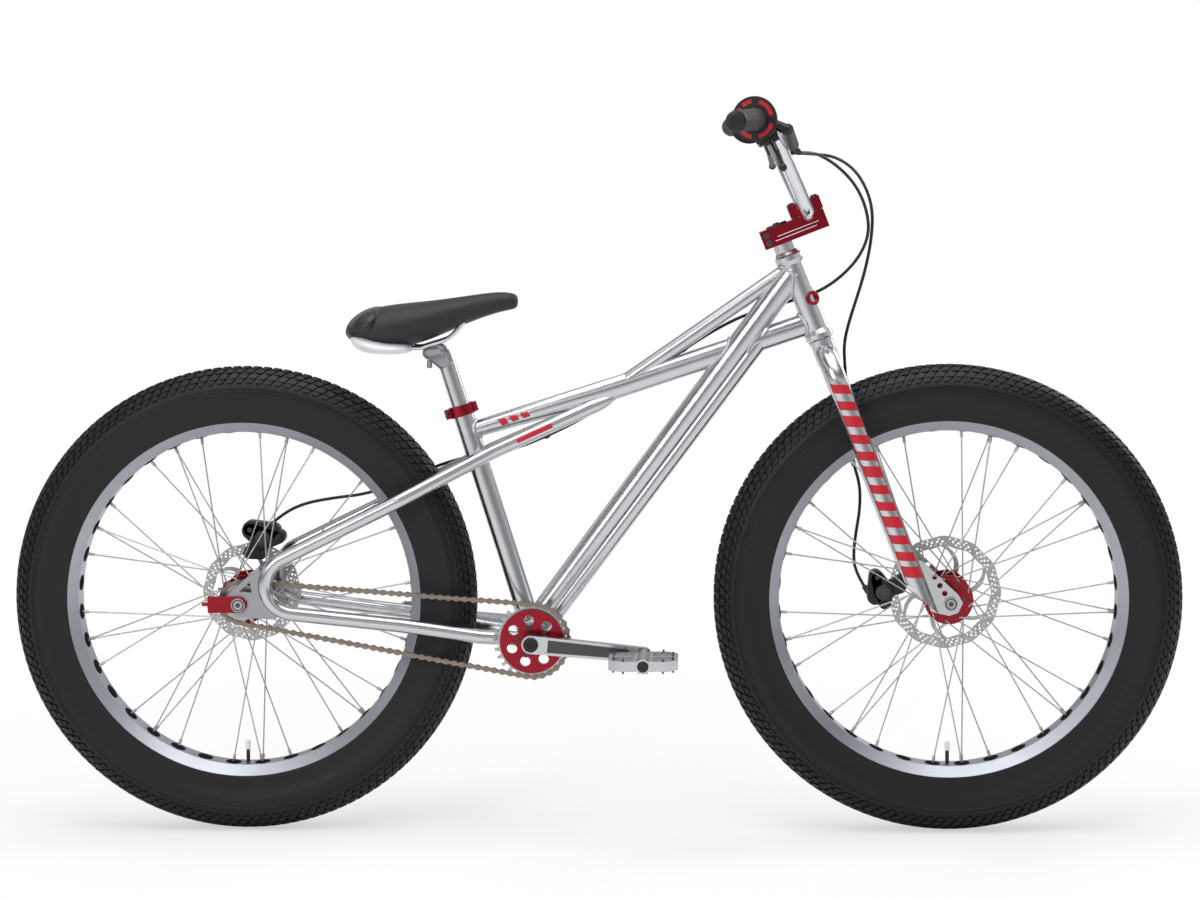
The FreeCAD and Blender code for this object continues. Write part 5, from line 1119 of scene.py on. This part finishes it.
class CRUISER_OT_saddle(Builder, bpy.types.Operator):
    """Padded saddle with its rear panel, bumper and clamp"""
    bl_idname = "cruiser.saddle"
    bl_label = "Saddle"
    # Each ring: along, share of the half width, top and underside.
    stations = [
        (-0.1455, 0.52, 0.0640, 0.0440), (-0.1280, 0.88, 0.0825, 0.0270),
        (-0.0850, 1.0, 0.0915, 0.0180), (-0.0250, 0.72, 0.0960, 0.0335),
        (0.0300, 0.42, 0.1035, 0.0600), (0.0800, 0.290, 0.1105, 0.0775),
        (0.1030, 0.235, 0.1085, 0.0815), (0.1130, 0.16, 0.1040, 0.0850),
    ]
    panel = [(-0.1470, 0.50, 0.0655, 0.0450), (-0.1320, 0.86, 0.0815, 0.0330),
             (-0.1130, 0.975, 0.0880, 0.0330), (-0.0950, 1.0, 0.0890, 0.0360)]
    bumper = [(-0.1490, 0.34, 0.0540, 0.0400), (-0.1450, 0.62, 0.0555, 0.0260),
              (-0.1290, 0.92, 0.0490, 0.0150), (-0.0920, 1.0, 0.0345, 0.0125),
              (-0.0480, 0.88, 0.0330, 0.0145)]

    def section(self, bm, head, station, swell):
        """One closed ring of the saddle, a little squarer than an oval."""
        along, share, top, under = station
        half = sizes("saddle").half_width * share + swell
        ring = bmesh.ops.create_circle(bm, cap_ends=False, segments=20, radius=1.0)["verts"]
        for vert in ring:
            angle = atan2(vert.co.y, vert.co.x)
            side = cos(angle)
            across = half * (1 if side > 0 else -1) * abs(side) ** 0.85
            level = under + (top - under) * 0.5 * (1 + sin(angle))
            vert.co = head + Vector((along, across, level))
        return ring

    def shell(self, head, stations, swell):
        bm = bmesh.new()
        skin(bm, [self.section(bm, head, station, swell) for station in stations])
        return bm

    def clamp(self):
        """The post's head: a slanted neck and a round cradle that grips the rails."""
        low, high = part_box("saddle_clamp")
        middle = Vector(((low.x + high.x) / 2, 0, (low.z + high.z) / 2))
        bm = bmesh.new()
        neck = [(0.013, -0.009, 0.0125), (-0.004, 0.004, 0.0120), (0.012, 0.002, 0.0100)]
        cradle = [(-0.008, 0.006, 0.0110), (0.006, 0.008, 0.0095)]
        for spots, wide, bevel in ((neck, 0.0140, 0.004), (cradle, 0.0235, 0.003),
                                   (cradle, 0.0290, 0.006)):
            disc_hull(bm, middle, spots, -wide, wide, bevel, 24)
        bolt = middle + Vector((-0.010, 0, -0.0195))
        stub(bm, bolt, bolt + Vector((0, 0, 0.012)), 0.0042, 0.0008, 12)
        settle(bm, "saddle_clamp_head", "seat", "plate", stands_for=["saddle_clamp"])

    def build(self):
        low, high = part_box("saddle")
        head = Vector((low.x + 0.148, 0.0, high.z - 0.1108))
        cover = settle(self.shell(head, self.stations, 0.0), "saddle_cover", "seat",
                       "saddle", angle=80, stands_for=["saddle"])
        soften(cover)
        self.clamp()

        panel = self.shell(head, self.panel, 0.0012)
        for vert in panel.verts:
            vert.co.x -= 0.35 * max(0.0, head.z + 0.080 - vert.co.z)
        soften(settle(panel, "saddle_rear_panel", "seat", "panel", angle=80))
        soften(settle(self.shell(head, self.bumper, 0.0016), "saddle_bumper", "seat",
                      "white", angle=80))


# ---------------------------------------------------------------- frame trim

def weld(bm, foot, heading, halves, meets):
    """A bead of overlapping ripples where a tube runs into a round one.

    foot and heading give the tube's axis, halves its half height and half width, and meets
    is the round tube's (point, axis, radius)."""
    point, axis, radius = meets
    axis = axis.normalized()
    heading = heading.normalized()
    width_way = Vector((0, 1, 0))
    height_way = heading.cross(width_way).normalized()
    ripples = 64
    spots = []
    for number in range(ripples):
        angle = 2 * pi * number / ripples
        start = foot + width_way * (halves[1] * cos(angle)) + height_way * (halves[0] * sin(angle))
        gap = start - point
        gap -= axis * gap.dot(axis)
        flat = heading - axis * heading.dot(axis)
        a, b, c = flat.dot(flat), 2 * gap.dot(flat), gap.dot(gap) - radius * radius
        inside = b * b - 4 * a * c
        if inside > 0:
            spots.append(start + heading * ((-b - sqrt(inside)) / (2 * a)))
    for number, spot in enumerate(spots):
        after = spots[(number + 1) % len(spots)]
        along = after - spot
        if 0 < along.length < 0.02:
            ball = bmesh.ops.create_icosphere(bm, subdivisions=1, radius=0.0039)["verts"]
            stretch = Matrix.Diagonal((1.0, 1.0, 0.62, 1.0))
            bmesh.ops.transform(bm, matrix=toward(spot, along) @ stretch, verts=ball)


class CRUISER_OT_welds(Builder, bpy.types.Operator):
    """Rippled weld beads at the frame's joints and the tapered ends of the stays"""
    bl_idname = "cruiser.welds"
    bl_label = "Weld beads"

    def build(self):
        head = (HEAD_FOOT, HEAD_AXIS, 0.018)
        seat = (CRANK, SEAT_AXIS, 0.0159)
        shell = (CRANK, Vector((0, 1, 0)), 0.023)
        down_low, down_high = CRANK - Vector((0.0153, 0, 0)), HEAD_FOOT + HEAD_AXIS * 0.110
        down_way = (down_high - down_low).normalized()
        down = (down_low, down_way, 0.0185)
        top_end, mid_end = HEAD_FOOT + HEAD_AXIS * 0.1186, HEAD_FOOT + HEAD_AXIS * 0.026
        top_way = (top_end - MID_TUBE_BEND).normalized()
        mid_way = (mid_end - MID_TUBE_BEND).normalized()
        back = 0.2
        bm = bmesh.new()
        weld(bm, down_high - down_way * back, down_way, (0.0200, 0.0175), head)
        weld(bm, top_end - top_way * back, top_way, (0.0116, 0.0116), head)
        weld(bm, mid_end - mid_way * back, mid_way, (0.0175, 0.0130), head)
        weld(bm, MID_TUBE_BEND, MID_TUBE_START - MID_TUBE_BEND, (0.0125, 0.0130), seat)
        weld(bm, down_low + down_way * back, -down_way, (0.0167, 0.0205), shell)
        weld(bm, CRANK + SEAT_AXIS * back, -SEAT_AXIS, (0.0159, 0.0159), shell)
        weld(bm, MID_TUBE_BEND, mid_way, (0.0165, 0.0130), down)
        weld(bm, mid_end, -mid_way, (0.0175, 0.0130), down)
        weld(bm, MID_TUBE_BEND, top_way, (0.0116, 0.0116), down)
        for side in (-1, 1):
            high, low = stay_line(side)
            tip = bmesh.ops.create_uvsphere(bm, u_segments=24, v_segments=16, radius=0.0113)
            place = toward(high, high - low) @ Matrix.Diagonal((1.0, 1.0, 3.4, 1.0))
            bmesh.ops.transform(bm, matrix=place, verts=tip["verts"])
        settle(bm, "weld_beads", "frame", "satin", angle=80)


class CRUISER_OT_trim(Builder, bpy.types.Operator):
    """Stripes, the round badge and the stem's lines"""
    bl_idname = "cruiser.trim"
    bl_label = "Trim"

    def wrap(self, bm, start, finish, radius, angles, slant):
        """A thin curved patch on a tube's right side, between two points on its axis."""
        axis = finish - start
        place = toward(start, axis)
        grid = bmesh.ops.create_grid(bm, x_segments=10, y_segments=3, size=0.5)["verts"]
        facing = place.to_3x3().inverted() @ Vector((0, -1, 0))
        zero = atan2(facing.y, facing.x)
        for vert in grid:
            share_round, share_along = vert.co.x + 0.5, vert.co.y + 0.5
            angle = zero + angles[0] + (angles[1] - angles[0]) * share_round
            along = axis.length * share_along + slant * (share_round - 0.5)
            vert.co = place @ Vector((*polar(radius, angle), along))

    def build(self):
        self.fork_bands()
        self.tube_stripes()

        bm = bmesh.new()
        badge = STEER @ Vector((0.0120, -0.0150, 0.062))
        facing = STEER.to_3x3() @ Vector((0.62, -0.78, 0))
        lathe(bm, [(0.0068, -0.004), (0.0068, 0.0016), (0.0078, 0.0024), (0.0104, 0.0024),
                   (0.0114, 0.0016), (0.0114, -0.004)], 36, toward(badge, facing), closed=True)
        settle(bm, "head_badge", "frame", "red")

        bm = bmesh.new()
        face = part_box("stem_body")[0].y - 0.0001
        line = [(-0.010, 0.0075), (0.058, 0.0075), (0.058, 0.0086), (-0.010, 0.0086)]
        for offset in (0.0, 0.0055):
            slot = flat_plate("slot", [[(x + offset, z + offset) for x, z in line]], 0.0003)
            slot.transform(Matrix.Rotation(pi / 2, 4, "X"))
            slot.transform(STEER @ Matrix.Translation((0.0, face, 0.1575)))
            join(bm, slot)
        settle(bm, "stem_lines", "steering", "white")

    def fork_bands(self):
        bm = bmesh.new()
        foot = STEER @ Vector((0, -0.075, -0.389))
        bands, step = 12, 0.0275
        for number in range(bands):
            start = foot + HEAD_AXIS * (step * number)
            wide = 0.0150 if number % 3 else 0.0185
            self.wrap(bm, start, start + HEAD_AXIS * wide, 0.01605, (-0.95, 0.95), -0.012)
        bmesh.ops.solidify(bm, geom=bm.faces[:], thickness=0.0001)
        settle(bm, "fork_bands", "steering", "print", angle=60)

    def tube_stripes(self):
        bm = bmesh.new()
        way = (MID_TUBE_BEND - MID_TUBE_START).normalized()
        for along in (0.052, 0.070, 0.088):
            spot = MID_TUBE_START + way * along
            self.wrap(bm, spot, spot + way * 0.012, 0.01312, (-0.42, 0.62), 0.005)
        high, low = stay_line(-1)
        way = (low - high).normalized()
        spot = high + way * 0.070
        self.wrap(bm, spot, spot + way * 0.060, 0.01130, (-0.30, 0.35), 0.0)
        bmesh.ops.solidify(bm, geom=bm.faces[:], thickness=0.0001)
        settle(bm, "tube_stripes", "frame", "print", angle=60)


NODE_LOOKS = {
    "polished": ["head_tube", "top_tube", "mid_tube", "down_tube", "seat_tube", "left_stay",
                 "right_stay", "bottom_bracket_shell", "left_fork_leg", "right_fork_leg",
                 "seat_post", "left_crank_arm", "right_crank_arm", "left_pedal", "right_pedal"],
    "plate": ["left_dropout", "right_dropout"],
    "satin": ["headset_cups", "headset_spacers", "pedal_axles", "steerer_tube"],
    "rim": ["front_rim", "rear_rim"],
    "red": ["stem_body", "stem_cap", "seat_collar", "chainring_guard", "left_tensioner",
            "right_tensioner", "front_hub", "rear_hub"],
    "dark": ["stem_bolts", "bottom_bracket_bearings", "crank_spindle"],
    "steel": ["chainring", "rear_cog", "front_spokes", "rear_spokes", "front_axle", "rear_axle"],
    "chrome": ["handlebar", "saddle_rails"],
    "black": ["left_master_cylinder", "right_master_cylinder", "left_brake_lever",
              "right_brake_lever"],
}


class CRUISER_OT_finishes(Builder, bpy.types.Operator):
    """Finishes of the solids that show as they are"""
    bl_idname = "cruiser.finishes"
    bl_label = "Finishes"

    def build(self):
        mix_finishes()
        for look, nodes in NODE_LOOKS.items():
            for node in nodes:
                for slot in frame["nodes"][node].material_slots:
                    slot.material = LOOKS[look]


# ---------------------------------------------------------------- stage

# Place from the ground up to the zenith, and shade.
SKY_BANDS = ((0.0, 0.6), (0.46, 0.5), (0.50, 0.26), (0.59, 0.20), (0.63, 0.85), (0.69, 0.95),
             (0.74, 0.16), (0.83, 0.12), (0.88, 0.9), (1.0, 0.8))


class CRUISER_OT_stage(Builder, bpy.types.Operator):
    """Pale floor and backdrop, soft lamps, sky and camera"""
    bl_idname = "cruiser.stage"
    bl_label = "Stage"

    def build(self):
        size = sizes("stage")
        scene = bpy.context.scene
        scene.view_settings.view_transform = "Standard"
        bm = bmesh.new()
        bmesh.ops.create_grid(bm, x_segments=2, y_segments=2, size=14.0)
        mesh = bpy.data.meshes.new("studio_floor")
        bm.to_mesh(mesh)
        bm.free()
        mesh.materials.append(plain_stage("studio_white", sizes("colours").floor, 0.55))
        floor = bpy.data.objects.new("studio_floor", mesh)
        floor.location.z = CAD_BOX[0][2] - 0.0002
        scene.collection.objects.link(floor)
        self.sky(size.sky)
        for name, place, aim, wide, power in (
                ("top_lamp", (0.0, -0.6, 3.6), (0, 0, 0.4), 3.2, size.lamp * 1.5),
                ("near_lamp", (-2.4, -3.6, 2.4), (0, 0, 0.5), 1.8, size.lamp),
                ("far_lamp", (2.6, 2.6, 2.2), (0, 0, 0.5), 1.8, size.lamp * 0.7)):
            light = bpy.data.lights.new(name, "AREA")
            light.size = wide
            light.energy = power
            lamp = bpy.data.objects.new(name, light)
            lamp.matrix_world = toward(Vector(place), Vector(place) - Vector(aim))
            scene.collection.objects.link(lamp)
        self.camera(scene, size)

    def sky(self, strength):
        """Bands of bright and dark round the studio; the eye sees plain white."""
        world = bpy.data.worlds.new("studio_sky")
        world.use_nodes = True
        sky = Nodes(world.node_tree)
        spot = sky.node("TexCoord", output="Generated")
        height = sky.node("SeparateXYZ", inputs={0: spot}, output="Z") * 0.5 + 0.5
        stops = [(place, shade * strength) for place, shade in SKY_BANDS]
        bands = sky.node("ValToRGB", {"stops": stops}, {0: height})
        seen = sky.node("LightPath", output="Is Camera Ray")
        shown = sky.node("Mix", {"data_type": "RGBA"}, {0: seen, 6: bands, 7: (1, 1, 1, 1)},
                         output=2)
        back = sky.tree.nodes["Background"]
        sky.tree.links.new(shown.socket, back.inputs["Color"])
        back.inputs["Strength"].default_value = 1.0
        bpy.context.scene.world = world

    def camera(self, scene, size):
        """Stands where the view is taken from, aimed by yaw, pitch and roll."""
        ahead = Vector((-sin(size.yaw) * cos(size.pitch), cos(size.yaw) * cos(size.pitch),
                        -sin(size.pitch)))
        level = Vector((cos(size.yaw), sin(size.yaw), 0))
        up = level.cross(ahead)
        side = level * cos(size.roll) + up * sin(size.roll)
        top = up * cos(size.roll) - level * sin(size.roll)
        lens = bpy.data.cameras.new("studio_camera")
        lens.lens = size.focal_length
        lens.sensor_width = 36.0
        lens.shift_x, lens.shift_y = size.shift
        lens.clip_end = 60.0
        camera = bpy.data.objects.new("studio_camera", lens)
        turn = Matrix((side, top, -ahead)).transposed().to_4x4()
        camera.matrix_world = Matrix.Translation(size.eye) @ turn
        scene.collection.objects.link(camera)
        scene.camera = camera


STEPS = [
    CRUISER_OT_finishes, CRUISER_OT_tyres, CRUISER_OT_rims, CRUISER_OT_discs, CRUISER_OT_hubs,
    CRUISER_OT_fittings, CRUISER_OT_chain, CRUISER_OT_cranks, CRUISER_OT_pedals, CRUISER_OT_grips,
    CRUISER_OT_hoses, CRUISER_OT_saddle, CRUISER_OT_welds, CRUISER_OT_trim, CRUISER_OT_stage,
]


class CRUISER_PT_panel(bpy.types.Panel):
    bl_label = "BMX cruiser"
    bl_space_type = "VIEW_3D"
    bl_region_type = "UI"
    bl_category = "Cruiser"

    def draw(self, context):
        for step in STEPS:
            self.layout.operator(step.bl_idname)
        for group in GROUPS:
            box = self.layout.box()
            holder = getattr(context.scene, group)
            for key in holder.__annotations__:
                box.prop(holder, key)


def register():
    for group, kind in GROUPS.items():
        bpy.utils.register_class(kind)
        setattr(bpy.types.Scene, group, PointerProperty(type=kind))
    for step in STEPS:
        bpy.utils.register_class(step)
    bpy.utils.register_class(CRUISER_PT_panel)


def unregister():
    bpy.utils.unregister_class(CRUISER_PT_panel)
    for step in reversed(STEPS):
        bpy.utils.unregister_class(step)
    for group, kind in GROUPS.items():
        delattr(bpy.types.Scene, group)
        bpy.utils.unregister_class(kind)


def main():
    register()
    for step in STEPS:
        family, name = step.bl_idname.split(".")
        getattr(getattr(bpy.ops, family), name)()


if __name__ == "__main__":
    main()
